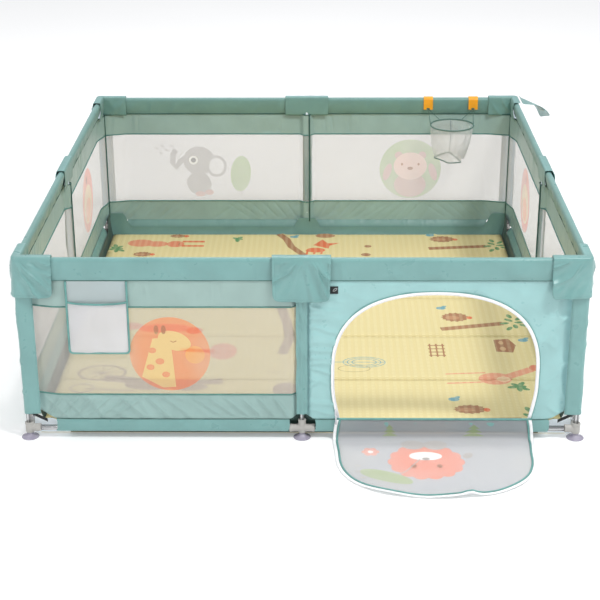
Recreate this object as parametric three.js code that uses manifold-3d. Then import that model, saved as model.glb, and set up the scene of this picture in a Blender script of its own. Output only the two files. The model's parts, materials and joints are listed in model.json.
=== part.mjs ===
// A large rectangular fabric playpen on a tube frame: eight posts, two tubes along the bottom and a
// jointed rail along the top of each side, plastic connectors on suction cups, sewn wall covers with
// a zipped door, fabric caps over the top joints, a folding floor mat and a small hoop with a net.
// Millimetres. The origin is the middle of the footprint on the floor, +Z up; the door is in the
// wall that faces -Y, and +X is to the right of someone who stands in front of that wall.

import * as THREE from 'three';
import { mergeVertices } from 'three/addons/utils/BufferGeometryUtils.js';
import Module from 'manifold-3d';

const wasm = await Module();
wasm.setup();

// Frame
const frameWidth = 1880; // between post axes, front and back
const frameDepth = 2020; // between post axes, left and right
const height = 670; // floor to the top of the caps
const tubeRadius = 10;
const tubeWall = 1;
const lowRailHeight = 36; // axes of the bottom tubes
const circleSteps = 16; // sides of a round tube
const arcSteps = 8; // sides of a half round or a rounded corner

// Plastic connectors
const barrelRadius = 15; // upright part of a corner piece
const socketRadius = 13; // arms of the corner and middle pieces
const socketGap = 0.3; // between a tube and its socket
const cornerArm = 39;
const middleArm = 44;
const socketDepth = 22;
const cornerBarrelTop = 58;
const middleBarrelTop = 70;
const connectorBottom = 19;

// Suction cups
const cupRadius = 30;
const cupNeckRadius = 9;
const cupStemRadius = 5;
const cupStemLength = 8;
const cupRim = 1.5;
const cupFlare = [[0.72, 5], [0.45, 9]]; // radius as a share of the cup's, at a height
const cupNeckFoot = 13;

// Covers
const clothThickness = 3; // taut netting and satin
const sleeveCloth = 2.2;
const sleeveGap = 0.8; // between a tube and its sleeve
const sheetPlane = 9.5; // how far the wall sheets lie outside the tube axes
const seamGap = 0.5; // between covers, and between a cover and a connector
const railBand = 84; // drop of the satin band over a top rail
const lowSeam = 74;
const lowSleeveStart = 96; // from a corner post's axis to the end of the bottom sleeve
const postSleeveBottom = 92;
const topJointHalf = 62; // bare joint in the top rail, under a cap

// Caps over the joints of the top rail
const capCloth = 3;
const capGap = 1; // between a cap and the connector under it
const capInside = 14; // how far a cap reaches inside the rail's axis
const middleCapWidth = 195;
const middleCapDrop = 153;
const cornerCapSide = 135;
const cornerCapDrop = 142;
const capCornerRadius = 16;
const openFlapAngle = 57; // the unfastened flap, in degrees from hanging

// Door
const doorOffset = 20; // from the middle of its panel towards the middle post
const doorSill = 76;
const doorSillWidth = 660;
const doorWidth = 700;
const doorBulge = 190; // from the sill up to the widest place
const doorShoulder = 0.7; // how high its sides stay steep, as a share of the rest of its height
const doorCrown = 0.62; // how wide its top stays flat, as a share of its width
const doorMargin = 41; // from the rail band down to the top of the opening
const flapCloth = 2.5;
const flapGap = 4; // between the closed flap and the edge of the opening
const foldGap = 2; // on each side of a fold line

// Storage pocket on the front wall
const pocketInset = 159; // from the corner post's axis
const pocketWidth = 202;
const pocketDrop = 76; // from the rail band down to the mouth
const pocketDepth = 186;
const pocketRoom = 12;
const pocketCloth = 2.5;

// Floor mat
const matPanels = 5;
const matThickness = 20;
const matGap = 0.5; // between panels
const matMargin = 2; // to the suction cups

// Hoop
const hoopInset = 287; // from the right corner post's axis
const clipSpacing = 203;
const clipWidth = 42;
const clipWall = 3.5;
const clipGap = 1; // between a clip and the rail's sleeve
const clipOuterLeg = 24;
const clipInnerLeg = 40;
const clipNotchWidth = 14;
const clipNotchHeight = 8;
const ringRadius = 96;
const ringWire = 2.5;
const ringDrop = 84; // from the rail's axis down to the ring
const ringStandoff = 4; // between the ring and the rail's sleeve
const netDepth = 165;
const netFootRadius = 68;
const netCloth = 2;
const cordRadius = 1.5;

// Sizes that follow from those
const topSeam = height - railBand;
const doorCentre = frameWidth / 4 - doorOffset;
const doorTop = topSeam - doorMargin;
const hoopCentre = frameWidth / 2 - hoopInset;
const topRailHeight = height - capCloth - capGap - barrelRadius;
const sleeveBore = tubeRadius + sleeveGap;
const sleeveRadius = sleeveBore + sleeveCloth;
const sheetOuter = sheetPlane + clothThickness / 2;
const sheetInner = sheetPlane - clothThickness / 2;
const capPlane = barrelRadius + capGap; // inner face of a hanging flap, outside the tube axes
const strapPlane = sleeveRadius + seamGap + flapCloth / 2; // middle of the hanging door flap
const postSleeveTop = topRailHeight - cornerArm - seamGap;
const matWidth = frameWidth - 2 * (cupRadius + matMargin);
const matDepth = frameDepth - 2 * (cupRadius + matMargin);

const colours = {
  satin: [0x85b4b0, 0.45, 0],
  netting: [0xd7d4d0, 0.8, 0],
  steel: [0xb9bbbc, 0.25, 1],
  plastic: [0xb4b2ac, 0.5, 0],
  cup: [0xa9a4b4, 0.3, 0],
  mat: [0xd7c891, 0.8, 0],
  clip: [0xf5aa1e, 0.35, 0],
};

// ---- solids ----

function solidOf(geometry) {
  const bare = geometry.index ? geometry.toNonIndexed() : geometry.clone();
  bare.deleteAttribute('normal');
  bare.deleteAttribute('uv');
  const merged = mergeVertices(bare, 1e-4);
  const mesh = new wasm.Mesh({
    numProp: 3,
    vertProperties: new Float32Array(merged.attributes.position.array),
    triVerts: new Uint32Array(merged.index.array),
  });
  return new wasm.Manifold(mesh);
}

function geometryOf(solid) {
  const mesh = solid.getMesh();
  const geometry = new THREE.BufferGeometry();
  geometry.setAttribute('position', new THREE.BufferAttribute(mesh.vertProperties, 3));
  geometry.setIndex(new THREE.BufferAttribute(mesh.triVerts, 1));
  geometry.computeVertexNormals();
  return geometry;
}

function join(...geometries) {
  return geometries.map(solidOf).reduce((whole, next) => whole.add(next));
}

function cut(solid, ...geometries) {
  return geometries.map(solidOf).reduce((rest, tool) => rest.subtract(tool), solid);
}

const axes = {
  x: new THREE.Matrix4().makeBasis(
    new THREE.Vector3(0, 1, 0), new THREE.Vector3(0, 0, 1), new THREE.Vector3(1, 0, 0)),
  y: new THREE.Matrix4().makeBasis(
    new THREE.Vector3(0, 0, 1), new THREE.Vector3(1, 0, 0), new THREE.Vector3(0, 1, 0)),
  z: new THREE.Matrix4(),
};

// An outline pushed along an axis from one place to another. The outline's two directions are
// (y, z) for a push along x, (z, x) along y, and (x, y) along z.
function pushed(outline, axis, from, to, steps = circleSteps) {
  const geometry = new THREE.ExtrudeGeometry(outline, {
    depth: to - from, bevelEnabled: false, curveSegments: steps / 2,
  });
  geometry.translate(0, 0, from);
  return geometry.applyMatrix4(axes[axis]);
}

function circle(x, y, radius, hole = 0) {
  const shape = new THREE.Shape();
  shape.absarc(x, y, radius, 0, 2 * Math.PI, false);
  if (hole > 0) {
    const inside = new THREE.Path();
    inside.absarc(x, y, hole, 0, 2 * Math.PI, true);
    shape.holes.push(inside);
  }
  return shape;
}

function block(x0, x1, y0, y1, z0, z1) {
  const geometry = new THREE.BoxGeometry(x1 - x0, y1 - y0, z1 - z0);
  return geometry.translate((x0 + x1) / 2, (y0 + y1) / 2, (z0 + z1) / 2);
}

function rod(from, to, radius, sides = 8) {
  const start = new THREE.Vector3(...from);
  const way = new THREE.Vector3(...to).sub(start);
  const geometry = new THREE.CylinderGeometry(radius, radius, way.length(), sides);
  geometry.translate(0, way.length() / 2, 0);
  const turn = new THREE.Quaternion().setFromUnitVectors(
    new THREE.Vector3(0, 1, 0), way.normalize());
  geometry.applyQuaternion(turn);
  return geometry.translate(start.x, start.y, start.z);
}

function turned(points) {
  const outline = points.map(([r, z]) => new THREE.Vector2(r, z));
  return new THREE.LatheGeometry(outline, circleSteps).rotateX(Math.PI / 2);
}

function named(name, shape, colour) {
  const geometry = shape.getMesh ? geometryOf(shape) : shape;
  const [color, roughness, metalness] = colours[colour];
  const material = new THREE.MeshStandardMaterial({ color, roughness, metalness });
  const mesh = new THREE.Mesh(geometry, material);
  mesh.name = name;
  return mesh;
}

// ---- frame ----

// A side's own frame has x along the wall, y = 0 on the tube axes, and -y outwards. Its first
// corner is at x = -span / 2, where the wall before it runs off along +y.

function post(name, x, z0, z1) {
  return named(name, pushed(circle(x, 0, tubeRadius, tubeRadius - tubeWall), 'z', z0, z1), 'steel');
}

function bottomRail(name, x0, x1) {
  const ring = circle(0, lowRailHeight, tubeRadius, tubeRadius - tubeWall);
  return named(name, pushed(ring, 'x', x0, x1), 'steel');
}

function socketBores(x, z, arms, depthStart) {
  const bore = tubeRadius + socketGap;
  const far = 2 * middleArm;
  return arms.map(([axis, sign]) => {
    const ends = [depthStart, far].map((d) => sign * d).sort((a, b) => a - b);
    if (axis === 'x') {
      return pushed(circle(0, z, bore), 'x', x + ends[0], x + ends[1]);
    }
    if (axis === 'y') {
      return pushed(circle(z, x, bore), 'y', ends[0], ends[1]);
    }
    return pushed(circle(x, 0, bore), 'z', z + ends[0], z + ends[1]);
  });
}

function cupSocket(x) {
  const hole = circle(x, 0, cupStemRadius + socketGap);
  const top = connectorBottom + cupStemLength + socketGap;
  return pushed(hole, 'z', connectorBottom - 1, top);
}

function bottomCorner(name, x) {
  const body = join(
    pushed(circle(x, 0, barrelRadius), 'z', connectorBottom, cornerBarrelTop),
    pushed(circle(0, lowRailHeight, socketRadius), 'x', x, x + cornerArm),
    pushed(circle(lowRailHeight, x, socketRadius), 'y', 0, cornerArm),
  );
  const bores = [
    ...socketBores(x, lowRailHeight, [['x', 1], ['y', 1]], cornerArm - socketDepth),
    pushed(circle(x, 0, tubeRadius + socketGap), 'z', postFoot(cornerBarrelTop), height),
  ];
  return named(name, cut(body, ...bores, cupSocket(x)), 'plastic');
}

function bottomMiddle(name) {
  const body = join(
    pushed(circle(0, lowRailHeight, socketRadius), 'x', -middleArm, middleArm),
    pushed(circle(0, 0, socketRadius), 'z', connectorBottom, middleBarrelTop),
  );
  const bores = [
    ...socketBores(0, lowRailHeight, [['x', 1], ['x', -1]], middleArm - socketDepth),
    pushed(circle(0, 0, tubeRadius + socketGap), 'z', postFoot(middleBarrelTop), height),
  ];
  return named(name, cut(body, ...bores, cupSocket(0)), 'plastic');
}

// Where a post ends in the socket whose rim is at barrelTop
function postFoot(barrelTop) {
  return barrelTop - socketDepth / 2;
}

function suctionCup(name, x) {
  const neckTop = connectorBottom - socketGap;
  const cup = turned([
    [0, 0],
    [cupRadius, 0],
    [cupRadius, cupRim],
    ...cupFlare.map(([share, z]) => [cupRadius * share, z]),
    [cupNeckRadius, cupNeckFoot],
    [cupNeckRadius, neckTop],
    [cupStemRadius, neckTop],
    [cupStemRadius, neckTop + cupStemLength],
    [0, neckTop + cupStemLength],
  ]);
  return named(name, cup.translate(x, 0, 0), 'cup');
}

// The rail is two tubes in the middle socket, with the corner piece of its first end in one.
function topRail(name, span, otherSpan) {
  const z = topRailHeight;
  const first = -span / 2;
  const body = join(
    pushed(circle(0, z, socketRadius), 'x', first, first + cornerArm),
    pushed(circle(z, first, socketRadius), 'y', 0, cornerArm),
    pushed(circle(first, 0, barrelRadius), 'z', z - cornerArm, z + barrelRadius),
    pushed(circle(0, z, tubeRadius), 'x', first, span / 2 - cornerArm + socketDepth - 1),
    pushed(circle(0, z, socketRadius), 'x', -middleArm, middleArm),
    pushed(circle(0, 0, socketRadius), 'z', z - cornerArm, z),
  );
  const bore = tubeRadius + socketGap;
  const hollow = circle(0, z, tubeRadius - tubeWall);
  return named(name, cut(
    body,
    pushed(circle(z, first, bore), 'y', cornerArm - socketDepth, otherSpan),
    pushed(circle(first, 0, bore), 'z', 0, postHead()),
    pushed(circle(0, 0, bore), 'z', 0, postHead()),
    pushed(hollow, 'x', middleArm, span),
  ), 'steel');
}

// Where the posts end in the sockets of the top rail
function postHead() {
  return topRailHeight - cornerArm + socketDepth;
}

// ---- covers ----

function topSleeve(x0, x1) {
  const z = topRailHeight;
  const outline = new THREE.Shape();
  outline.moveTo(-sheetOuter, topSeam);
  outline.lineTo(-sleeveRadius, z);
  outline.absarc(0, z, sleeveRadius, Math.PI, 0, true);
  outline.lineTo(-sheetInner, topSeam);
  outline.closePath();
  return pushed(outline, 'x', x0, x1, arcSteps);
}

function lowSleeve(x0, x1) {
  const z = lowRailHeight;
  const outline = new THREE.Shape();
  outline.moveTo(-sheetInner, lowSeam);
  outline.lineTo(sleeveRadius, z);
  outline.absarc(0, z, sleeveRadius, 0, -Math.PI, true);
  outline.lineTo(-sheetOuter, lowSeam);
  outline.closePath();
  return pushed(outline, 'x', x0, x1, arcSteps);
}

function postSleeve(x) {
  return pushed(circle(x, 0, sleeveRadius), 'z', postSleeveBottom, postSleeveTop);
}

function wallSheet(x0, x1) {
  return block(x0, x1, -sheetOuter, -sheetInner, lowSeam - 1, topSeam + 1);
}

function tubeBores(span) {
  const far = span / 2;
  return [
    pushed(circle(0, topRailHeight, sleeveBore), 'x', -far, far),
    pushed(circle(0, lowRailHeight, sleeveBore), 'x', -far, far),
    pushed(circle(-far, 0, sleeveBore), 'z', 0, height),
    pushed(circle(0, 0, sleeveBore), 'z', 0, height),
  ];
}

// The fabric is cut away around each connector: a corner's is seen from its post, a middle's is
// the same on both sides.
function footCuts(span) {
  const first = -span / 2;
  const last = span / 2;
  const deep = 2 * barrelRadius;
  const middle = middleArm + seamGap;
  return [
    block(first - deep, first + lowSleeveStart, -deep, deep, 0, postSleeveBottom),
    block(last - lowSleeveStart, last + deep, -deep, deep, 0, postSleeveBottom),
    block(-middle, middle, -deep, deep, 0, postSleeveBottom),
  ];
}

function doorOutline(inset = 0) {
  const half = doorWidth / 2 - inset;
  const foot = doorSillWidth / 2 - inset;
  const top = doorTop - inset;
  const widest = doorSill + doorBulge;
  const shoulder = widest + (top - widest) * doorShoulder;
  const low = doorSill + doorBulge / 2;
  const shape = new THREE.Shape();
  shape.moveTo(-foot, doorSill);
  shape.quadraticCurveTo(-half, low, -half, widest);
  shape.bezierCurveTo(-half, shoulder, -half * doorCrown, top, 0, top);
  shape.bezierCurveTo(half * doorCrown, top, half, shoulder, half, widest);
  shape.quadraticCurveTo(half, low, foot, doorSill);
  shape.closePath();
  return shape;
}

// An outline in x and z, pushed along y
function upright(outline, y0, y1, steps = arcSteps) {
  const geometry = new THREE.ExtrudeGeometry(outline, {
    depth: y1 - y0, bevelEnabled: false, curveSegments: steps / 2,
  });
  geometry.rotateX(Math.PI / 2);
  return geometry.translate(0, y1, 0);
}

// The joints that leave room for the connectors in the top rail
function topPieces(x0, x1) {
  const pieces = [];
  if (x0 < -topJointHalf) {
    pieces.push(topSleeve(x0, Math.min(x1, -topJointHalf)));
  }
  if (x1 > topJointHalf) {
    pieces.push(topSleeve(Math.max(x0, topJointHalf), x1));
  }
  return pieces;
}

function wallCover(name, span, x0, x1, sleeves, colour) {
  const body = join(
    wallSheet(x0, x1),
    ...topPieces(Math.max(x0, topJointHalf - span / 2), Math.min(x1, span / 2 - topJointHalf)),
    lowSleeve(x0, x1),
    ...sleeves.map(postSleeve),
  );
  return named(name, cut(body, ...tubeBores(span), ...footCuts(span)), colour);
}

function coverEnds(span) {
  return [-span / 2, span / 2 - sleeveRadius - seamGap];
}

function pocket() {
  const outer = -sheetOuter;
  const front = outer - pocketRoom - pocketCloth;
  const left = pocketInset - frameWidth / 2;
  const right = left + pocketWidth;
  const mouth = topSeam - pocketDrop;
  const bottom = mouth - pocketDepth;
  const shell = solidOf(block(left, right, front, outer + 1, bottom, mouth));
  return cut(shell, block(
    left + pocketCloth, right - pocketCloth, front + pocketCloth, outer,
    bottom + pocketCloth, mouth + 1,
  ));
}

function frontCovers(span) {
  const [first, last] = coverEnds(span);
  const split = sleeveRadius + seamGap;
  const left = wallCover('net_cover_front', span, first, 0, [first, 0], 'netting');
  const withPocket = solidOf(left.geometry).add(pocket());
  const door = wallCover('door_cover_front', span, split, last, [], 'satin');
  const opening = upright(doorOutline(), -2 * sleeveRadius, 2 * sleeveRadius, circleSteps);
  opening.translate(doorCentre, 0, 0);
  return [
    named('net_cover_front', withPocket, 'netting'),
    named('door_cover_front', cut(solidOf(door.geometry), opening), 'satin'),
  ];
}

// ---- caps ----

function flapOutline(x0, x1, drop) {
  const r = capCornerRadius;
  const low = height - drop;
  const shape = new THREE.Shape();
  shape.moveTo(x0, height);
  shape.lineTo(x0, low + r);
  shape.absarc(x0 + r, low + r, r, Math.PI, 1.5 * Math.PI, false);
  shape.lineTo(x1 - r, low);
  shape.absarc(x1 - r, low + r, r, -Math.PI / 2, 0, false);
  shape.lineTo(x1, height);
  shape.closePath();
  return shape;
}

function middleCap(name) {
  const half = middleCapWidth / 2;
  const outer = -capPlane - capCloth;
  return named(name, join(
    block(-half, half, outer, capInside, height - capCloth, height),
    upright(flapOutline(-half, half, middleCapDrop), outer, -capPlane),
  ), 'satin');
}

// A hanging flap on the side that the corner shares with the wall before it
function sideFlap(near, far, drop) {
  const outer = -capPlane - capCloth;
  const flap = upright(flapOutline(near, far, drop), outer, -capPlane);
  return flap.rotateZ(-Math.PI / 2);
}

function cornerCap(name, span, closed) {
  const first = -span / 2;
  const outer = -capPlane - capCloth;
  const end = outer + cornerCapSide;
  const top = height - capCloth;
  const pieces = [
    block(first + outer, first + end, outer, capInside, top, height),
    block(first + outer, first + capInside, outer, end, top, height),
    upright(flapOutline(first + outer, first + end, cornerCapDrop), outer, -capPlane),
  ];
  if (closed) {
    const flap = sideFlap(-end, -outer, cornerCapDrop);
    pieces.push(flap.translate(first, 0, 0));
  }
  return named(name, join(...pieces), 'satin');
}

// The same flap, unfastened, on a fold line just outside the cap
function openFlap(name, span) {
  const outer = -capPlane - capCloth;
  const flap = sideFlap(-outer - cornerCapSide, -outer - foldGap, cornerCapDrop);
  flap.translate(capPlane, 0, -height - foldGap);
  flap.rotateY(THREE.MathUtils.degToRad(openFlapAngle));
  flap.translate(outer - foldGap - span / 2, 0, height - capCloth);
  return named(name, flap, 'satin');
}

// ---- door flap ----

// Closed, the flap fills the opening. Open, its lowest part hangs from the sill and the rest lies
// on the floor, so the outline is cut along that fold.
function doorFlap() {
  const fold = doorSill - flapCloth / 2; // length that hangs
  const closed = doorOutline(flapGap);
  const plate = () => solidOf(upright(closed, -flapCloth / 2, flapCloth / 2, circleSteps));
  const wide = doorWidth;
  const below = block(-wide, wide, -wide, wide, 0, doorSill + fold + foldGap);
  const hung = plate().intersect(solidOf(
    block(-wide, wide, -wide, wide, doorSill + foldGap, doorSill + fold - foldGap)));
  const laid = plate().subtract(solidOf(below));
  const strip = geometryOf(hung).translate(0, 0, -doorSill);
  strip.rotateX(Math.PI);
  strip.translate(doorCentre, -strapPlane, doorSill);
  const main = geometryOf(laid).translate(0, 0, -doorSill - fold);
  main.rotateX(Math.PI / 2);
  main.translate(doorCentre, -strapPlane, flapCloth / 2);
  return [named('door_flap_hem', strip, 'netting'), named('door_flap', main, 'netting')];
}

// ---- mat ----

function matPanel(index) {
  const step = matDepth / matPanels;
  const y0 = -matDepth / 2 + index * step;
  const y1 = y0 + step - matGap;
  const panel = block(-matWidth / 2, matWidth / 2, y0, y1, 0, matThickness);
  return named(`mat_panel_${index + 1}`, panel, 'mat');
}

// ---- hoop ----

function hoopClip(name, x) {
  const z = topRailHeight;
  const inner = sleeveRadius + clipGap;
  const outer = inner + clipWall;
  const outline = new THREE.Shape();
  outline.moveTo(-outer, z - clipOuterLeg);
  outline.lineTo(-outer, z);
  outline.absarc(0, z, outer, Math.PI, 0, true);
  outline.lineTo(outer, z - clipInnerLeg);
  outline.lineTo(inner, z - clipInnerLeg);
  outline.lineTo(inner, z);
  outline.absarc(0, z, inner, 0, Math.PI, false);
  outline.lineTo(-inner, z - clipOuterLeg);
  outline.closePath();
  const body = solidOf(pushed(
    outline, 'x', x - clipWidth / 2, x + clipWidth / 2, arcSteps));
  const low = z - clipInnerLeg;
  const half = clipNotchWidth / 2;
  return named(name, cut(
    body, block(x - half, x + half, 0, 2 * outer, low - 1, low + clipNotchHeight)), 'clip');
}

function hoopAndNet(name, x) {
  const z = topRailHeight - ringDrop;
  const y = sleeveRadius + ringStandoff + ringWire + ringRadius;
  const foot = z - netDepth;
  const net = turned([
    [0, foot],
    [netFootRadius, foot],
    [ringRadius, z],
    [ringRadius - netCloth, z],
    [netFootRadius - netCloth, foot + netCloth],
    [0, foot + netCloth],
  ]).translate(x, y, 0);
  const ring = new THREE.TorusGeometry(ringRadius, ringWire, arcSteps, 2 * circleSteps);
  const hookY = sleeveRadius + clipGap + clipWall / 2;
  const hookZ = topRailHeight - clipInnerLeg + cordRadius;
  const cords = [-1, 1].flatMap((side) => [0, Math.PI / 3].map((turn) => rod(
    [x + side * clipSpacing / 2, hookY, hookZ],
    [x + side * ringRadius * Math.cos(turn), y - ringRadius * Math.sin(turn), z],
    cordRadius)));
  return named(name, join(net, ring.translate(x, y, z), ...cords), 'netting');
}

// ---- the whole ----

const sides = ['front', 'right', 'back', 'left'];
const corners = ['front_left', 'front_right', 'back_right', 'back_left'];

function sideSpans(index) {
  return index % 2 === 0 ? [frameWidth, frameDepth] : [frameDepth, frameWidth];
}

function frameSide(side, corner, span, otherSpan) {
  const first = -span / 2;
  const seat = middleArm - socketDepth + 1;
  const cornerSeat = cornerArm - socketDepth + 1;
  return [
    post(`corner_post_${corner}`, first, postFoot(cornerBarrelTop) + 1, postHead() - 1),
    post(`middle_post_${side}`, 0, postFoot(middleBarrelTop) + 1, postHead() - 1),
    bottomRail(`bottom_rail_${side}_1`, first + cornerSeat, -seat),
    bottomRail(`bottom_rail_${side}_2`, seat, -first - cornerSeat),
    bottomCorner(`bottom_corner_${corner}`, first),
    bottomMiddle(`bottom_tee_${side}`),
    suctionCup(`suction_cup_${corner}`, first),
    suctionCup(`suction_cup_${side}`, 0),
    topRail(`top_rail_${side}`, span, otherSpan),
  ];
}

function coverSide(side, span) {
  if (side === 'front') {
    return frontCovers(span);
  }
  const [first, last] = coverEnds(span);
  return [wallCover(`net_cover_${side}`, span, first, last, [first, 0], 'netting')];
}

function buildSide(index) {
  const side = sides[index];
  const corner = corners[index];
  const [span, otherSpan] = sideSpans(index);
  const group = new THREE.Group();
  group.rotation.z = index * Math.PI / 2;
  group.position.set(0, -otherSpan / 2, 0).applyAxisAngle(
    new THREE.Vector3(0, 0, 1), group.rotation.z);
  group.add(...frameSide(side, corner, span, otherSpan), ...coverSide(side, span));
  group.add(middleCap(`middle_cap_${side}`));
  group.add(cornerCap(`corner_cap_${corner}`, span, corner !== 'back_right'));
  if (side === 'front') {
    group.add(...doorFlap());
  }
  if (side === 'back') {
    group.add(openFlap('corner_flap_back_right', span));
    group.add(hoopClip('hoop_clip_left', -hoopCentre + clipSpacing / 2));
    group.add(hoopClip('hoop_clip_right', -hoopCentre - clipSpacing / 2));
    group.add(hoopAndNet('hoop_net', -hoopCentre));
  }
  return group;
}

const playpen = new THREE.Group();
sides.forEach((_, index) => playpen.add(buildSide(index)));
for (let index = 0; index < matPanels; index += 1) {
  playpen.add(matPanel(index));
}

export default playpen;
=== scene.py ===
"""Looks of a large fabric playpen: satin and netting covers on a tube frame with plastic connectors
and suction cups, cloth caps, an open zipped door, a printed folding mat and a small hoop."""

import json
import math

import bmesh
import bpy
from mathutils import Matrix, Vector, noise
from mathutils.geometry import delaunay_2d_cdt

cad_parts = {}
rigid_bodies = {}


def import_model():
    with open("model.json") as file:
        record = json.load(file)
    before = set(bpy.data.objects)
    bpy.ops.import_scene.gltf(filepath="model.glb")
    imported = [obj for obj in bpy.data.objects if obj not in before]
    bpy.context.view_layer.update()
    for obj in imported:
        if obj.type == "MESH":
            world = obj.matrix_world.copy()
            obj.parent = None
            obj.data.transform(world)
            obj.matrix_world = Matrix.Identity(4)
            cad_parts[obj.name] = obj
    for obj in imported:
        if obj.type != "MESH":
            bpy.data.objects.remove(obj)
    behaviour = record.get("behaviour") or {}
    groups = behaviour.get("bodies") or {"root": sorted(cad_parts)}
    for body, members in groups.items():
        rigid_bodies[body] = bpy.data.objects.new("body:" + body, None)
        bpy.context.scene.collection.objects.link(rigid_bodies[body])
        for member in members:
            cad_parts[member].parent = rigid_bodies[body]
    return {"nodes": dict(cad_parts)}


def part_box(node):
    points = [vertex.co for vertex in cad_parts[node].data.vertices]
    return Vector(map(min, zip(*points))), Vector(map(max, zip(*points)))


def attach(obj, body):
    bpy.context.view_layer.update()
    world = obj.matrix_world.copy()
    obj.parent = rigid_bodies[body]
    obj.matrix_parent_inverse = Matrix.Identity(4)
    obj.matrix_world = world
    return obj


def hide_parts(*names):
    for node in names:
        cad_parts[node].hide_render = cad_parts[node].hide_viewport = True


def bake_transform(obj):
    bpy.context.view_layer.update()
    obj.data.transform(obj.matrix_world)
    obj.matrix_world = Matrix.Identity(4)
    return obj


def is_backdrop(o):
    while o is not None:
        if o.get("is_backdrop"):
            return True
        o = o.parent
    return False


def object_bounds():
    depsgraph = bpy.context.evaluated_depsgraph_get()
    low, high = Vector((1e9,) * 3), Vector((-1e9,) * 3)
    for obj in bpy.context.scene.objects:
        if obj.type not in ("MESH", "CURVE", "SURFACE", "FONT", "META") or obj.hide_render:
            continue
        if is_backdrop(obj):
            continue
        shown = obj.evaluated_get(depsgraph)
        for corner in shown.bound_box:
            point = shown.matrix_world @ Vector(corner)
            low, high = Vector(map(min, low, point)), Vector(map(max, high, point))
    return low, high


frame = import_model()
cad_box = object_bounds()


def centre_of(node):
    """The middle of a CAD node's box."""
    low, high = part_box(node)
    return [(a + b) / 2 for a, b in zip(low, high)]


# ---- sizes, in metres ----

POST_X = abs(centre_of("suction_cup_front_left")[0])
POST_Y = abs(centre_of("suction_cup_front_left")[1])
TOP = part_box("middle_cap_front")[1][2]
SIDES = ("front", "right", "back", "left")
FRONT = 0  # place of the front in SIDES
CORNERS = ("front_left", "front_right", "back_right", "back_left")

TUBE = 0.010  # radius of the steel tubes
POST_END = 0.634  # top of the post tubes
ARM = 0.0135  # radius of a connector's level arms
LOW_RAIL = 0.036  # axes of the bottom tubes
TOP_RAIL = TOP - 0.019  # axes of the top rails
SLEEVE = 0.0130  # outside of a sleeve from the tube's axis
BAND_SEAM = TOP - 0.084  # foot of the satin band over a rail
WINDOW_TOP = 0.490  # the netting's upper and lower edges
WINDOW_LOW = 0.167
LOW_SEAM = 0.074  # where the low band meets the bottom tunnel
LOW_CUT = 0.096  # from a corner post to the end of the bottom sleeve
MIDDLE_CUT = 0.0445  # the same at a middle post
RAIL_JOINT = 0.062  # from a post to the end of a rail sleeve, under a cap
WALL_OUT = 0.0085  # how far the wall cloth lies outside the tube axes
WALL_IN = -0.0135  # where it passes inside a post
CORNER_RUN = 0.125  # where a wall starts to bend in towards a corner
CORNER_STRIP = 0.045  # width of a post's satin strip, from the axis
MIDDLE_STRIP = 0.019  # half the width of a middle post's strip
POST_FOOT = 0.094  # foot of the satin strips
POST_HEAD = 0.640
PIPING = 0.0028  # radius of the window's piping

DOOR_X = 0.450
DOOR_SILL = 0.076
DOOR_TOP = 0.545
DOOR_WIDEST = 0.266  # height at which the door is widest
DOOR_HALF = 0.350  # half the door's width, there and at its foot
DOOR_FOOT_HALF = 0.330
ZIP_TAPE = 0.0085  # how far the tape shows inside the opening
FLAP_Y = -(POST_Y + 0.01475)
FLAP_HANG = DOOR_SILL - 0.00125  # from the sill to the floor
FLAP_FLOOR = 0.00125

CAP_OUT = 0.0175  # the caps' outer faces, from the tube axes
CAP_IN = -0.0150  # their inner faces
MIDDLE_CAP_HALF = 0.0975
MIDDLE_CAP_DROP = 0.153
CORNER_CAP = 0.116  # from the post's axis to the end of a corner cap
CORNER_CAP_DROP = 0.142

MAT_HALF = 0.908
MAT_THICK = 0.020
MAT_PANELS = 5

HOOP_X = 0.653
HOOP_RING = 0.096
HOOP_Z = 0.567
HOOP_Y = POST_Y - 0.1155
HOOP_FOOT = 0.402  # height of the net's foot
CLIP_WIDTH = 0.042
CLIP_OFFSET = 0.1015  # from the hoop's middle to a clip

# ---- colours, linear ----


def rgb(r, g, b):
    """A colour given as display values from 0 to 255."""
    return tuple(((c / 255 + 0.055) / 1.055) ** 2.4 if c > 10 else c / 3295 for c in (r, g, b))


SATIN = rgb(117, 162, 159)
# A lighter copy of the satin for the door wall: painted light.
SATIN_PAINTED_LIGHT = rgb(152, 196, 195)
# A darker copy of the satin for faces inside the pen: painted shade.
SATIN_INNER_SHADE = rgb(110, 150, 144)
SHEER = rgb(150, 177, 171)
LOW_BAND = rgb(146, 176, 171)
PIPING_TEAL = rgb(84, 134, 126)
# Dark teal of the seams and the posts' piping; along the seams it is also painted shade of their creases.
DARK_THREAD_AND_SHADE = rgb(52, 92, 84)
NET = rgb(184, 179, 172)
NET_COOL = rgb(206, 222, 227)
ORANGE = rgb(226, 128, 96)
SAND = rgb(228, 190, 128)
LEAF = rgb(160, 178, 122)
GREY = rgb(166, 160, 154)
ROSE = rgb(196, 152, 138)
BARK = rgb(160, 104, 72)
GREEN = rgb(72, 140, 92)
FOX = rgb(222, 98, 56)
SKY = rgb(92, 158, 176)
MAT_YELLOW = rgb(224, 208, 152)
PINK = rgb(226, 150, 122)
MOOSE = rgb(166, 142, 122)

# ---- meshes ----


def side_turn(k):
    """Turns the front side onto side k, which follow each other anticlockwise."""
    return Matrix.Rotation(k * math.pi / 2, 4, "Z")


def side_half(k):
    """How far a side's tube axes are from the middle of the pen."""
    return POST_Y if k % 2 == 0 else POST_X


def side_span(k):
    """Distance between the axes of a side's two corner posts."""
    return 2 * (POST_X if k % 2 == 0 else POST_Y)


def on_side(k, u, v, z):
    """A point u along side k, v outside its tube axes and z above the floor."""
    return side_turn(k) @ Vector((u, -side_half(k) - v, z))


def smooth(x, low=0.0, high=1.0):
    """A soft step from 0 at low to 1 at high."""
    t = min(1.0, max(0.0, (x - low) / (high - low)))
    return t * t * (3 - 2 * t)


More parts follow.
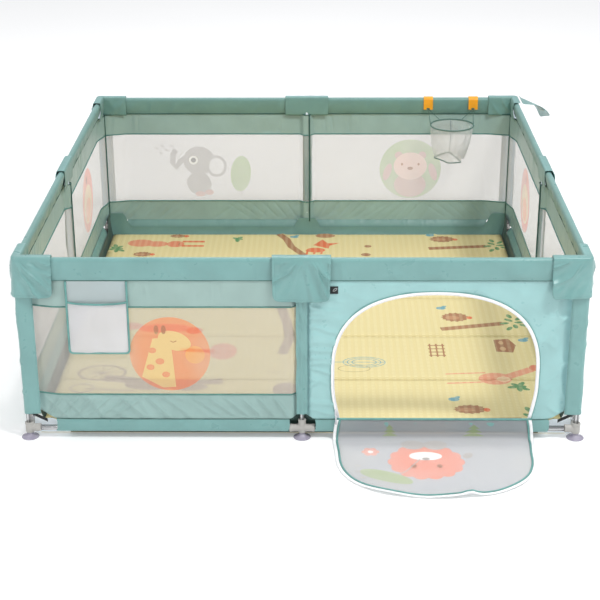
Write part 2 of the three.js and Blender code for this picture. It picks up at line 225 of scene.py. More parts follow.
def ripple(a, b, seed):
    """Smooth noise, about -1 to 1. Each use has a seed of its own."""
    return noise.noise(Vector((a, b, seed * 7.31)))


def ridge(a, b, seed, sharp=3.4):
    """Thin raised lines that wander like the creases of a cloth, 0 to 1."""
    return max(0.0, 1 - sharp * abs(ripple(a, b, seed))) ** 2


def bump(distance, width):
    """A rounded hump, 1 at no distance."""
    return math.exp(-((distance / width) ** 2))


def creases(p, q, lines):
    """Height of the folds along straight lines (p0, q0, p1, q1, width, height) at a point."""
    total = 0.0
    for p0, q0, p1, q1, width, height in lines:
        dp, dq = p1 - p0, q1 - q0
        length = math.hypot(dp, dq)
        along = ((p - p0) * dp + (q - q0) * dq) / (length * length)
        away = abs((p - p0) * dq - (q - q0) * dp) / length
        ends = smooth(along, -0.1, 0.2) * smooth(1.1 - along, 0.0, 0.35)
        total += height * ends * bump(away, width)
    return total


def make(name, points, faces, material, body, uv=None, soft=True, indices=None):
    """A mesh object that rides on a body. uv holds one pair for each point."""
    mesh = bpy.data.meshes.new(name)
    mesh.from_pydata([tuple(p) for p in points], [], faces)
    if uv is not None:
        layer = mesh.uv_layers.new(name="cloth")
        for loop in mesh.loops:
            layer.data[loop.index].uv = uv[loop.vertex_index]
    for m in material if isinstance(material, (list, tuple)) else [material]:
        mesh.materials.append(m)
    if indices is not None:
        mesh.polygons.foreach_set("material_index", indices)
    if soft:
        mesh.polygons.foreach_set("use_smooth", [True] * len(mesh.polygons))
    mesh.update()
    piece = bpy.data.objects.new(name, mesh)
    bpy.context.collection.objects.link(piece)
    if body is not None:
        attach(piece, body)
    return piece


def grid(columns, rows, place, closed=False):
    """Points, faces and flat coordinates of a grid; place(i, j) gives a point and its (a, b)."""
    points, uv, faces = [], [], []
    for i in range(columns):
        for j in range(rows):
            point, flat = place(i, j)
            points.append(point)
            uv.append(flat)
    for i in range(columns if closed else columns - 1):
        for j in range(rows - 1):
            a = i * rows + j
            b = ((i + 1) % columns) * rows + j
            faces.append((a, b, b + 1, a + 1))
    return points, faces, uv


def tube_along(name, path, radius, material, body, closed=False, sides=8):
    """A round cord along a path of points."""
    path = [Vector(p) for p in path]
    count = len(path)
    points, faces, uv = [], [], []
    up = None
    run = 0.0
    for i, here in enumerate(path):
        before = path[i - 1] if i or closed else here
        after = path[(i + 1) % count] if i + 1 < count or closed else here
        way = (after - before).normalized()
        if up is None:
            up = way.orthogonal().normalized()
        up = (up - way * up.dot(way)).normalized()
        across = way.cross(up)
        run += (here - before).length
        for s in range(sides):
            turn = 2 * math.pi * s / sides
            points.append(here + radius * (math.cos(turn) * up + math.sin(turn) * across))
            uv.append((run, s / sides * 2 * math.pi * radius))
    for i in range(count if closed else count - 1):
        for s in range(sides):
            a, b = i * sides + s, i * sides + (s + 1) % sides
            c, d = (a + sides) % len(points), (b + sides) % len(points)
            faces.append((a, b, d, c))
    if not closed:
        faces.append(tuple(range(sides))[::-1])
        faces.append(tuple(range(len(points) - sides, len(points))))
    return make(name, points, faces, material, body, uv)


def lathe(name, outline, at, material, body, sides=48):
    """A round solid from (radius, height) pairs that start and end on the axis."""
    points, faces = [], []
    inner = outline[1:-1]
    for s in range(sides):
        turn = 2 * math.pi * s / sides
        for r, z in inner:
            points.append((at[0] + r * math.cos(turn), at[1] + r * math.sin(turn), at[2] + z))
    low, high = len(points), len(points) + 1
    points.append((at[0], at[1], at[2] + outline[0][1]))
    points.append((at[0], at[1], at[2] + outline[-1][1]))
    rows = len(inner)
    for s in range(sides):
        a, b = s * rows, (s + 1) % sides * rows
        faces.append((low, b, a))
        faces += [(a + j, b + j, b + j + 1, a + j + 1) for j in range(rows - 1)]
        faces.append((high, a + rows - 1, b + rows - 1))
    return make(name, points, faces, material, body)


def add_modifier(piece, kind, **values):
    """Adds a modifier with its settings."""
    modifier = piece.modifiers.new(kind.title(), kind)
    for key, value in values.items():
        setattr(modifier, key, value)
    return modifier


def thicken(piece, thickness=0.0008):
    """Gives a cloth its thickness, half to each side."""
    add_modifier(piece, "SOLIDIFY", thickness=thickness, offset=0.0)
    return piece


# ---- printed sheets ----


def ellipse(x, y, rx, ry, tilt=0.0, steps=40):
    """An oval outline."""
    ring = []
    for s in range(steps):
        t = 2 * math.pi * s / steps
        a, b = rx * math.cos(t), ry * math.sin(t)
        ring.append((x + a * math.cos(tilt) - b * math.sin(tilt),
                     y + a * math.sin(tilt) + b * math.cos(tilt)))
    return ring


def stroke(points, width):
    """A line drawn with a round brush, as an outline."""
    left, right = [], []
    for i, (x, y) in enumerate(points):
        x0, y0 = points[max(0, i - 1)]
        x1, y1 = points[min(len(points) - 1, i + 1)]
        length = math.hypot(x1 - x0, y1 - y0) or 1.0
        nx, ny = -(y1 - y0) / length, (x1 - x0) / length
        left.append((x + nx * width / 2, y + ny * width / 2))
        right.append((x - nx * width / 2, y - ny * width / 2))
    return left + right[::-1]


def inside(point, outline):
    """Whether a point is inside an outline."""
    x, y = point
    hit = False
    j = len(outline) - 1
    for i, (xi, yi) in enumerate(outline):
        xj, yj = outline[j]
        if (yi > y) != (yj > y) and x < (xj - xi) * (y - yi) / (yj - yi) + xi:
            hit = not hit
        j = i
    return hit


def box_of(outline):
    """Lowest and highest corner of an outline."""
    xs, ys = [p[0] for p in outline], [p[1] for p in outline]
    return min(xs), min(ys), max(xs), max(ys)


def cut_cloth(outline, prints, step, holes=(), row_step=None):
    """Triangles of a flat sheet that holds the edges of its prints. prints are (outline, colour,
    cover) in drawing order. Returns points, faces and each face's print number, or -1."""
    row_step = row_step or step
    x0, y0, x1, y1 = box_of(outline)
    points, edges = [], []

    def ring(loop):
        start = len(points)
        points.extend(Vector(p) for p in loop)
        count = len(loop)
        edges.extend((start + i, start + (i + 1) % count) for i in range(count))

    ring(outline)
    for hole in holes:
        ring(hole)
    shown = [p for p in prints if box_of(p[0])[2] > x0 and box_of(p[0])[0] < x1
             and box_of(p[0])[3] > y0 and box_of(p[0])[1] < y1]
    for loop, *_ in shown:
        ring(loop)
    columns = max(1, round((x1 - x0) / step))
    rows = max(1, round((y1 - y0) / row_step))
    for i in range(1, columns):
        for j in range(1, rows):
            shift = 0.25 if j % 2 else -0.25
            p = (x0 + (i + shift) * (x1 - x0) / columns, y0 + j * (y1 - y0) / rows)
            points.append(Vector(p))
    made, _, triangles, *_ = delaunay_2d_cdt(points, edges, [], 0, 1e-6)
    faces, numbers = [], []
    boxes = [box_of(p[0]) for p in shown]
    for f in triangles:
        middle = sum((made[i] for i in f), Vector((0, 0))) / len(f)
        if not inside(middle, outline) or any(inside(middle, h) for h in holes):
            continue
        number = -1
        for n, (bx0, by0, bx1, by1) in enumerate(boxes):
            if bx0 < middle.x < bx1 and by0 < middle.y < by1 and inside(middle, shown[n][0]):
                number = n
        faces.append(tuple(f))
        numbers.append(number)
    used = sorted({i for f in faces for i in f})
    index = {old: new for new, old in enumerate(used)}
    faces = [tuple(index[i] for i in f) for f in faces]
    return [made[i] for i in used], faces, numbers, shown


def paint(piece, numbers, shown, plain):
    """Each face's colour and cover, in an attribute that the material reads."""
    mesh = piece.data
    layer = mesh.color_attributes.new("print", "FLOAT_COLOR", "CORNER")
    for polygon, number in zip(mesh.polygons, numbers):
        colour, cover = plain if number < 0 else shown[number][1:]
        for loop in polygon.loop_indices:
            layer.data[loop].color = (*colour, cover)


def printed(name, outline, prints, plain, place, material, body, step, holes=(),
            row_step=None):
    """A printed cloth: place(x, y) puts each flat point where it hangs."""
    flat, faces, numbers, shown = cut_cloth(outline, prints, step, holes, row_step)
    points = [place(p.x, p.y) for p in flat]
    uv = [(p.x, p.y) for p in flat]
    piece = make(name, points, faces, material, body, uv)
    paint(piece, numbers, shown, plain)
    return piece


# ---- materials ----


class Nodes:
    """Short ways to build a material's nodes."""

    def __init__(self, name):
        self.material = bpy.data.materials.new(name)
        self.material.use_nodes = True
        self.tree = self.material.node_tree
        self.shader = self.tree.nodes["Principled BSDF"]

    def add(self, kind, **values):
        node = self.tree.nodes.new(kind)
        for key, value in values.items():
            if hasattr(node, key):
                setattr(node, key, value)
            else:
                node.inputs[key.replace("_", " ")].default_value = value
        return node

    def link(self, source, target):
        self.tree.links.new(source, target)

    def maths(self, operation, a, b=None):
        node = self.add("ShaderNodeMath", operation=operation)
        for socket, value in zip(node.inputs, (a, b)):
            if value is None:
                continue
            if isinstance(value, (int, float)):
                socket.default_value = value
            else:
                self.link(value, socket)
        return node.outputs[0]

    def coordinates(self, kind="Object", scale=(1, 1, 1)):
        source = self.add("ShaderNodeTexCoord").outputs[kind]
        mapping = self.add("ShaderNodeMapping")
        mapping.inputs["Scale"].default_value = scale
        self.link(source, mapping.inputs["Vector"])
        return mapping.outputs["Vector"]

    def noise(self, vector, scale, detail=2.0, roughness=0.5):
        node = self.add("ShaderNodeTexNoise", Scale=scale, Detail=detail, Roughness=roughness)
        self.link(vector, node.inputs["Vector"])
        return node.outputs["Fac"]

    def wave(self, vector, period, direction="X"):
        node = self.add("ShaderNodeTexWave", wave_type="BANDS", bands_direction=direction)
        node.inputs["Scale"].default_value = 2 * math.pi / (20 * period)
        node.inputs["Distortion"].default_value = 0.0
        self.link(vector, node.inputs["Vector"])
        return node.outputs["Fac"]

    def mix(self, factor, a, b):
        node = self.add("ShaderNodeMix", data_type="RGBA")
        if isinstance(factor, (int, float)):
            node.inputs[0].default_value = factor
        else:
            self.link(factor, node.inputs[0])
        for socket, value in ((node.inputs[6], a), (node.inputs[7], b)):
            if isinstance(value, tuple):
                socket.default_value = (*value, 1.0)
            else:
                self.link(value, socket)
        return node.outputs[2]

    def ranged(self, value, low, high, start=0.0, end=1.0):
        node = self.add("ShaderNodeMapRange")
        self.link(value, node.inputs["Value"])
        for key, number in (("From Min", start), ("From Max", end), ("To Min", low),
                            ("To Max", high)):
            node.inputs[key].default_value = number
        return node.outputs["Result"]

    def bump(self, height, distance, strength=1.0, normal=None):
        node = self.add("ShaderNodeBump")
        node.inputs["Strength"].default_value = strength
        node.inputs["Distance"].default_value = distance
        self.link(height, node.inputs["Height"])
        if normal is not None:
            self.link(normal, node.inputs["Normal"])
        return node.outputs["Normal"]

    def finish(self, colour=None, roughness=None, normal=None, alpha=None, **fixed):
        for value, key in ((colour, "Base Color"), (roughness, "Roughness"), (normal, "Normal"),
                           (alpha, "Alpha")):
            if value is not None:
                self.link(value, self.shader.inputs[key])
        for key, value in fixed.items():
            self.shader.inputs[key.replace("_", " ")].default_value = value
        return self.material


def satin(name, colour, gloss=0.29, crinkle=0.0011, painted_glow=0.0):
    """Woven satin: a fine twill, small crinkles and a soft sheen. Its last argument makes it shine faintly by
    itself: a painted glow.
    """
    n = Nodes(name)
    cloth = n.coordinates("UV")
    place = n.coordinates("Object")
    shade = n.noise(place, 9.0, 3.0)
    dark = tuple(c * 0.94 for c in colour)
    light = tuple(min(1.0, c * 1.07) for c in colour)
    base = n.mix(n.ranged(shade, 0.0, 1.0, 0.3, 0.7), dark, light)
    twill = n.wave(cloth, 0.0009, "DIAGONAL")
    base = n.mix(n.ranged(twill, 0.0, 0.16), base, light)
    small = n.noise(n.coordinates("UV", (55, 22, 1)), 1.0, 4.0, 0.6)
    normal = n.bump(small, crinkle, 0.7)
    normal = n.bump(twill, 0.00008, 0.5, normal)
    rough = n.ranged(n.noise(place, 30.0), gloss - 0.06, gloss + 0.08)
    # The emission is a painted glow of the cloth itself, not a lamp.
    return n.finish(base, rough, normal, Sheen_Weight=0.12, Sheen_Roughness=0.4,
                    Specular_IOR_Level=0.62, Emission_Color=(0.80, 0.84, 0.87, 1.0),
                    Emission_Strength=painted_glow)


def netting(name, gloss=0.75, thread=0.34):
    """Fine knitted netting: cover comes from the print attribute's alpha, plus its threads."""
    n = Nodes(name)
    cloth = n.coordinates("UV")
    dye = n.add("ShaderNodeAttribute", attribute_name="print")
    across = n.wave(cloth, 0.0016, "X")
    along = n.wave(cloth, 0.0013, "Y")
    threads = n.maths("MAXIMUM", across, along)
    cloud = n.noise(n.coordinates("Object"), 3.2, 3.0)
    shaded = n.mix(n.ranged(cloud, 0.0, 0.42, 0.38, 0.64), dye.outputs["Color"], (0.56, 0.54, 0.51))
    alpha = n.maths("MULTIPLY", threads, thread)
    alpha = n.maths("ADD", alpha, dye.outputs["Alpha"])
    alpha = n.maths("ADD", alpha, n.ranged(cloud, -0.04, 0.04))
    normal = n.bump(threads, 0.0001, 0.6)
    rough = n.ranged(cloud, gloss - 0.05, gloss + 0.05)
    return n.finish(shaded, rough, normal, alpha, Sheen_Weight=0.1)


def plastic(name, colour, gloss=0.42, grain=0.00012):
    """Moulded plastic with a fine grain and scuffed tone."""
    n = Nodes(name)
    place = n.coordinates("Object")
    tone = n.noise(place, 35.0, 3.0)
    base = n.mix(n.ranged(tone, 0.0, 1.0, 0.3, 0.7), tuple(c * 0.9 for c in colour),
                 tuple(min(1.0, c * 1.08) for c in colour))
    fine = n.noise(place, 1800.0, 2.0)
    rough = n.ranged(n.noise(place, 120.0), gloss - 0.05, gloss + 0.1)
    return n.finish(base, rough, n.bump(fine, grain, 0.4))


def steel():
    """Bright plated tube: its dark and bright lengthways streaks are draw marks and painted reflection."""
    n = Nodes("plated_steel")
    place = n.coordinates("Object")
    # Dark and bright bands along the tube: painted reflection of a chrome tube.
    reflection_streaks = n.noise(n.coordinates("UV", (0.6, 130.0, 1.0)), 1.0, 2.0)
    base = n.mix(n.ranged(reflection_streaks, 0.0, 1.0, 0.35, 0.65), (0.16, 0.165, 0.17), (0.80, 0.80, 0.81))
    rough = n.ranged(n.noise(place, 240.0), 0.12, 0.28)
    return n.finish(base, rough, n.bump(n.noise(place, 900.0), 0.00005, 0.3), Metallic=1.0)


def cup_material():
    """Clear soft plastic with a faint violet tint and hazy rings."""
    n = Nodes("suction_plastic")
    place = n.coordinates("Object")
    haze = n.noise(place, 40.0, 2.0)
    base = n.mix(haze, rgb(150, 142, 168), rgb(196, 192, 204))
    alpha = n.ranged(haze, 0.62, 0.86)
    return n.finish(base, n.ranged(haze, 0.12, 0.26), n.bump(haze, 0.0003, 0.4), alpha,
                    Coat_Weight=0.4)


def mat_material():
    """Soft printed foam sheet with rows of small pressed ribs; their crests are lightened as painted
    highlight.
    """
    n = Nodes("mat_foam")
    place = n.coordinates("Object")
    dye = n.add("ShaderNodeAttribute", attribute_name="print")
    columns = n.wave(place, 0.027, "X")
    dashes = n.wave(place, 0.0125, "Y")
    ribs = n.maths("MULTIPLY", n.ranged(columns, 0.0, 1.0, 0.35, 0.75),
                   n.ranged(dashes, 0.0, 1.0, 0.25, 0.6))
    ribs = n.maths("MULTIPLY", ribs, dye.outputs["Alpha"])
    tone = n.noise(place, 2.2, 2.0)
    worn = n.mix(n.ranged(tone, 0.0, 0.20), dye.outputs["Color"], rgb(206, 190, 132))
    # Lightens the ribs towards pale yellow: a painted highlight on their crests.
    lit = n.mix(n.ranged(ribs, 0.0, 0.30), worn, rgb(252, 242, 196))
    fine = n.noise(place, 700.0, 2.0)
    normal = n.bump(ribs, 0.0012, 0.9)
    normal = n.bump(fine, 0.0001, 0.3, normal)
    rough = n.ranged(n.noise(place, 50.0), 0.55, 0.7)
    return n.finish(lit, rough, normal)


def thread_material(name, colour, gloss=0.6, dark=0.82):
    """Ribbed tape, cord or bound edge."""
    n = Nodes(name)
    place = n.coordinates("UV")
    ribs = n.wave(place, 0.0012, "X")
    tone = n.noise(n.coordinates("Object"), 45.0, 3.0)
    base = n.mix(n.ranged(tone, 0.0, 1.0, 0.3, 0.7), tuple(c * dark for c in colour),
                 tuple(min(1.0, c * 1.1) for c in colour))
    rough = n.ranged(tone, gloss - 0.08, gloss + 0.08)
    return n.finish(base, rough, n.bump(ribs, 0.00015, 0.5))


M_SATIN = satin("satin_teal", SATIN)
# The lighter satin of the door wall: painted light.
M_PAINTED_LIGHT = satin("satin_painted_light", SATIN_PAINTED_LIGHT)
# The same satin, darker, for faces inside the pen: painted shade.
M_INNER_SHADE = satin("satin_inner_painted_shade", SATIN_INNER_SHADE, 0.42)
M_SHEER = satin("sheer_band", SHEER, 0.34)
M_LOW = satin("low_band", LOW_BAND, 0.32)
M_NET = netting("netting")
M_HOOP_NET = netting("hoop_netting", 0.7, 0.22)
M_PIPING = thread_material("piping_teal", PIPING_TEAL)
M_BINDING = thread_material("binding_teal", rgb(104, 158, 152))
M_DARK_THREAD_AND_SHADE = thread_material("dark_thread_and_shade", DARK_THREAD_AND_SHADE)
M_STITCH = thread_material("stitch_thread", rgb(96, 146, 142))
M_ZIP = thread_material("zip_tape", rgb(250, 250, 251), 0.5, 0.95)
M_TEETH = plastic("zip_teeth", rgb(236, 236, 240), 0.3)
M_SLIDER = plastic("zip_slider", rgb(214, 214, 218), 0.25)
M_CORD = thread_material("cord_green", rgb(70, 104, 96))
M_WIRE = plastic("wire_green", rgb(88, 118, 110), 0.35)
M_GREY_WIRE = plastic("wire_grey", rgb(140, 150, 152), 0.35)
M_CLIP = plastic("clip_orange", rgb(245, 166, 28), 0.3)
M_PLASTIC = plastic("connector_plastic", rgb(172, 170, 165))
M_STEEL = steel()
M_CUP = cup_material()
M_MAT = mat_material()
# Near-black teal of the skirt: painted shade where the wall meets the mat and behind the feet's gaps.
M_SKIRT_SHADE = satin("skirt_painted_shade", rgb(44, 72, 66), 0.5)
# Pale lining that shines faintly by itself: a painted glow that stands for light coming through thin satin.
M_LINING_GLOW = satin("sleeve_lining_painted_glow", rgb(200, 211, 216), 0.6, 0.0005, 0.32)
M_STRAP = thread_material("strap_black", rgb(24, 27, 27), 0.7)
M_TAG = thread_material("tag_black", rgb(26, 30, 30))
M_TAG_MARK = thread_material("tag_mark", rgb(214, 218, 216))
M_PATCH = thread_material("hook_loop_patch", rgb(186, 196, 190), 0.9)

# ---- frame ----


def straight_tube(name, start, end, node):
    """A plated tube with rolled ends, in place of a CAD tube."""
    start, end = Vector(start), Vector(end)
    way = (end - start).normalized()
    sides = 32
    up = way.orthogonal().normalized()
    across = way.cross(up)
    length = (end - start).length
    rings = [(0.0, TUBE - 0.0014), (0.0, TUBE - 0.0006), (0.0006, TUBE), (length - 0.0006, TUBE),
             (length, TUBE - 0.0006), (length, TUBE - 0.0014), (length - 0.002, TUBE - 0.0014),
             (0.002, TUBE - 0.0014)]
    points, faces, uv = [], [], []
    for along, radius in rings:
        for s in range(sides):
            turn = 2 * math.pi * s / sides
            points.append(start + way * along + radius * (math.cos(turn) * up + math.sin(turn) * across))
            uv.append((along, turn * TUBE))
    count = len(rings)
    for i in range(count):
        for s in range(sides):
            a, b = i * sides + s, i * sides + (s + 1) % sides
            c, d = ((i + 1) % count) * sides + s, ((i + 1) % count) * sides + (s + 1) % sides
            faces.append((a, b, d, c))
    piece = make(name, points, faces, M_STEEL, "frame", uv)
    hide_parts(node)
    return piece


BARREL_SIDES = 40


def add_barrel(mesh, start, end, radius, rim=0.0):
    """Adds a closed round bar to a bmesh, with a slight rim at its far end."""
    start, end = Vector(start), Vector(end)
    way = (end - start).normalized()
    up = way.orthogonal().normalized()
    across = way.cross(up)
    length = (end - start).length
    steps = [(0.0, radius - 0.002), (0.002, radius), (length - 0.008, radius),
             (length - 0.007, radius + rim), (length - 0.001, radius + rim), (length, radius + rim - 0.001)]
    rings = []
    for along, r in steps:
        turns = [2 * math.pi * s / BARREL_SIDES for s in range(BARREL_SIDES)]
        rings.append([mesh.verts.new(start + way * along + r * (math.cos(t) * up + math.sin(t) * across))
                      for t in turns])
    for low, high in zip(rings, rings[1:]):
        for s in range(BARREL_SIDES):
            mesh.faces.new((low[s], low[(s + 1) % BARREL_SIDES], high[(s + 1) % BARREL_SIDES], high[s]))
    mesh.faces.new(rings[0][::-1])
    mesh.faces.new(rings[-1])


def connector(name, k, arms, node):
    """Bars joined into one moulded piece with filleted joints."""
    shape = bmesh.new()
    for start, end, radius in arms:
        add_barrel(shape, on_side(k, *start), on_side(k, *end), radius, 0.0008)
    bmesh.ops.recalc_face_normals(shape, faces=shape.faces)
    mesh = bpy.data.meshes.new(name)
    shape.to_mesh(mesh)
    shape.free()
    mesh.materials.append(M_PLASTIC)
    piece = bpy.data.objects.new(name, mesh)
    bpy.context.collection.objects.link(piece)
    add_modifier(piece, "REMESH", mode="VOXEL", voxel_size=0.0018, use_smooth_shade=True)
    add_modifier(piece, "SMOOTH", factor=0.5, iterations=3)
    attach(piece, "frame")
    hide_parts(node)
    return piece


def frame_side(k):
    """Tubes, connectors and cups of one side, with the corner it starts at."""
    side, corner = SIDES[k], CORNERS[k]
    first = -side_span(k) / 2
    for node, u, low in ((f"corner_post_{corner}", first, 0.048), (f"middle_post_{side}", 0.0, 0.060)):
        straight_tube(f"{node}_tube", on_side(k, u, 0, low), on_side(k, u, 0, POST_END), node)
    for number, (a, b) in enumerate(((first + 0.018, -0.023), (0.023, -first - 0.018)), 1):
        node = f"bottom_rail_{side}_{number}"
        straight_tube(f"{node}_tube", on_side(k, a, 0, LOW_RAIL), on_side(k, b, 0, LOW_RAIL), node)
    connector(f"foot_{corner}", k, [
        ((first, 0, 0.019), (first, 0, 0.058), 0.015),
        ((first - 0.008, 0, LOW_RAIL), (first + 0.039, 0, LOW_RAIL), ARM),
        ((first, 0.008, LOW_RAIL), (first, -0.039, LOW_RAIL), ARM),
    ], f"bottom_corner_{corner}")
    connector(f"foot_{side}", k, [
        ((0, 0, 0.019), (0, 0, 0.070), 0.013),
        ((0.002, 0, LOW_RAIL), (0.044, 0, LOW_RAIL), ARM),
        ((-0.002, 0, LOW_RAIL), (-0.044, 0, LOW_RAIL), ARM),
    ], f"bottom_tee_{side}")
    for place, u in ((corner, first), (side, 0.0)):
        suction_cup(place, on_side(k, u, 0, 0))


def suction_cup(place, at):
    """A cup with a flared skirt, a neck and a button on top."""
    outline = [(0, 0.0035), (0.018, 0.002), (0.0285, 0.0), (0.0300, 0.0006), (0.0298, 0.0018),
               (0.0262, 0.0036), (0.0215, 0.0052), (0.0170, 0.0078), (0.0130, 0.0106),
               (0.0100, 0.0130), (0.0092, 0.0150), (0.0100, 0.0165), (0.0100, 0.0184),
               (0.0052, 0.0187), (0.0050, 0.0265), (0, 0.0268)]
    piece = lathe(f"cup_{place}", outline, at, M_CUP, "frame")
    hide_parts(f"suction_cup_{place}")


def dress_rails():
    """Steel on the hidden top rails, which stay CAD shapes."""
    for side in SIDES:
        node = bpy.data.objects.get(f"top_rail_{side}") or frame["nodes"][f"top_rail_{side}"]
        for index in range(max(1, len(node.material_slots))):
            if node.material_slots:
                node.material_slots[index].material = M_STEEL
            else:
                node.data.materials.append(M_STEEL)


# ---- covers ----


def wall_line(k, u):
    """How far outside the tube axes the wall cloth lies: it passes inside the posts."""
    to_corner = side_span(k) / 2 - abs(u)
    corner = smooth(CORNER_RUN - to_corner, 0.0, CORNER_RUN + WALL_IN)
    middle = 1 - smooth(abs(u), 0.012, 0.034)
    return WALL_OUT + (WALL_IN - WALL_OUT) * max(corner, middle)


def wall_point(k, u, z, out=0.0, seed=0.0):
    """A point of a wall's cloth, out from its surface; the cloth is loose away from the posts."""
    span = side_span(k)
    edge = min(1.0, (span / 2 - abs(u)) / 0.08) * min(1.0, abs(u) / 0.08)
    soft = 0.0016 * ripple(u * 3.0 + k * 5, z * 5.0, seed) * max(0.0, edge)
    return on_side(k, u, wall_line(k, u) + out + soft, z)


def stations(u0, u1, step):
    """Evenly spaced values from u0 to u1, about step apart."""
    count = max(2, round((u1 - u0) / step) + 1)
    return [u0 + (u1 - u0) * i / (count - 1) for i in range(count)]


WRINKLE_STEP = 0.0045  # spacing of the points of a wrinkled band


def wall_band(name, k, u0, u1, z0, z1, material, folds, lower_edge=None):
    """A strip of cloth in the wall; folds(u, z) is its surface's height."""
    us = stations(u0, u1, WRINKLE_STEP)
    rows = max(4, round((z1 - z0) / WRINKLE_STEP) + 1)

    def place(i, j):
        u = us[i]
        low = z0 if lower_edge is None else lower_edge(u)
        z = low + (z1 - low) * j / (rows - 1)
        hem = min(1.0, j / 3, (rows - 1 - j) / 3)
        return wall_point(k, u, z, folds(u, z) * hem), (u, z)

    points, faces, uv = grid(len(us), rows, place)
    return make(name, points, faces, material, "frame", uv)


def sheer_folds(k):
    """Upright pulls in the thin band under a rail."""
    def folds(u, z):
        drop = (WINDOW_TOP - z) / (WINDOW_TOP - BAND_SEAM)
        tall = ridge(u * 26 + k * 9, z * 4, 1.0) * 0.0055 * smooth(ripple(u * 4 + k, 0, 1.5), -0.1, 0.3)
        broad = ripple(u * 15 + k * 3, z * 7, 2.0) * 0.0030
        return (tall + broad) * (0.35 + 0.65 * abs(drop))
    return folds


def low_folds(k):
    """Slanting pulls in the low band, strongest on the front wall."""
    half = side_span(k) / 2
    lines = []
    for end, way in ((-half + 0.05, 1), (-0.03, -1), (0.03, 1), (half - 0.05, -1)):
        for n in range(6):
            start = end + way * (0.02 + 0.045 * n)
            lines.append((start, LOW_SEAM + 0.012, start + way * (0.05 + 0.012 * n),
                          WINDOW_LOW - 0.004, 0.0042, 0.0075 - 0.0007 * n))

    slack = 1.0 if k == FRONT else 0.35

    def folds(u, z):
        skew = u * 15 + z * 14
        patch = smooth(ripple(u * 3 + k * 2, 0.5, 3.5), -0.25, 0.25)
        return slack * (creases(u, z, lines) + ridge(skew + k * 7, z * 5, 3.0) * 0.0060 * patch
                        + ripple(u * 26 + k, z * 14, 4.0) * 0.0024)
    return folds


def half_ring(height, way):
    """Half a turn of a sleeve round a tube: over it (way 1) or under it (way -1)."""
    turns = [way * math.pi * step / 12 for step in range(13)]
    return [(SLEEVE * math.cos(t), height + SLEEVE * math.sin(t)) for t in turns]


def sleeve(name, us, ring, place):
    """A sewn tunnel of satin round a tube. The second half of its ring faces into the pen and takes the
    darker inner satin: painted shade.
    """
    count = len(ring)
    points, faces, uv = grid(len(us), count, place)
    inner = [1 if j >= count // 2 else 0 for _ in range(len(us) - 1) for j in range(count - 1)]
    piece = make(name, points, faces, [M_SATIN, M_INNER_SHADE], "frame", uv, indices=inner)
    length = sum(math.dist(a, b) for a, b in zip(ring, ring[1:]))


def rail_sleeve(name, k, u0, u1):
    """Satin round a top rail, closed at the band's seam."""
    us = stations(u0, u1, 0.0055)
    ring = [(WALL_OUT + 0.0024, BAND_SEAM), (WALL_OUT + 0.0030, BAND_SEAM + 0.012),
            (WALL_OUT + 0.0034, BAND_SEAM + 0.028), (SLEEVE - 0.0006, BAND_SEAM + 0.045)]
    ring += half_ring(TOP_RAIL, 1)
    ring += [(-SLEEVE + 0.0035, BAND_SEAM + 0.045), (-SLEEVE + 0.009, BAND_SEAM + 0.028),
             (WALL_OUT - 0.008, BAND_SEAM + 0.012), (WALL_OUT - 0.0015, BAND_SEAM)]

    def place(i, j):
        u = us[i]
        v, z = ring[j]
        loose = smooth(TOP_RAIL - z, -0.002, 0.03) * smooth(z - BAND_SEAM, 0.0, 0.01)
        side = 1 if j < len(ring) / 2 else -1
        wrinkle = (ripple(u * 20 + k * 11 + side * 40, z * 11, 5.0) * 0.0018
                   + ridge(u * 11 + k * 5 + z * 4, z * 6 + side * 9, 6.0) * 0.0044)
        return on_side(k, u, v + side * wrinkle * loose, z), (u, z if side > 0 else 2 * TOP - z)

    sleeve(name, us, ring, place)


def low_sleeve(name, k, u0, u1):
    """Satin tunnel round a bottom tube, with gathered ends."""
    us = stations(u0, u1, 0.006)
    ring = [(WALL_OUT + 0.002, LOW_SEAM), (SLEEVE - 0.001, LOW_SEAM - 0.012)]
    ring += half_ring(LOW_RAIL, -1)
    ring += [(-SLEEVE + 0.004, LOW_SEAM - 0.02), (WALL_OUT - 0.006, LOW_SEAM - 0.008),
             (WALL_OUT - 0.001, LOW_SEAM)]

    def place(i, j):
        u = us[i]
        v, z = ring[j]
        gather = 1 - smooth(min(u - u0, u1 - u), 0.0, 0.07)
        loose = smooth(z - LOW_RAIL, -0.004, 0.012) * smooth(LOW_SEAM - z, -0.001, 0.008)
        side = 1 if j < len(ring) / 2 else -1
        fold = ripple(u * 32 + z * 30, k * 5 + side * 3, 8.0) * 0.0020
        fold += ridge(u * 16 + z * 22, z * 5 + k * 3, 8.5) * 0.0038
        fold += gather * 0.0030 * math.sin(z * 260 + u * 90 + k)
        return on_side(k, u + gather * 0.003 * math.sin(j * 1.3), v + side * fold * loose, z), (u, z)

    sleeve(name, us, ring, place)


def middle_strip(k):
    """Satin strip over the outside of a middle post."""
    width = 2 * MIDDLE_STRIP
    columns, rows = 17, 110

    def place(i, j):
        u = -MIDDLE_STRIP + width * i / (columns - 1)
        z = POST_FOOT + (POST_HEAD - POST_FOOT) * j / (rows - 1)
        u += 0.0035 * ripple(z * 16, k * 3, 7.0) * smooth(-u, 0.004, MIDDLE_STRIP)
        round_ = math.sqrt(max(0.0, (SLEEVE + 0.0004) ** 2 - u * u)) if abs(u) < SLEEVE else 0.0
        v = max(WALL_OUT + 0.0022, round_)
        v += 0.0018 * ripple(u * 30 + k, z * 13, 9.0) * smooth(abs(u), 0.004, 0.015)
        v += 0.00288 * ridge(u * 26 + k, z * 12 + u * 30, 10.0)
        return on_side(k, u, v, z), (u, z)

    points, faces, uv = grid(columns, rows, place)
    piece = make(f"post_strip_{SIDES[k]}", points, faces, M_SATIN, "frame", uv)


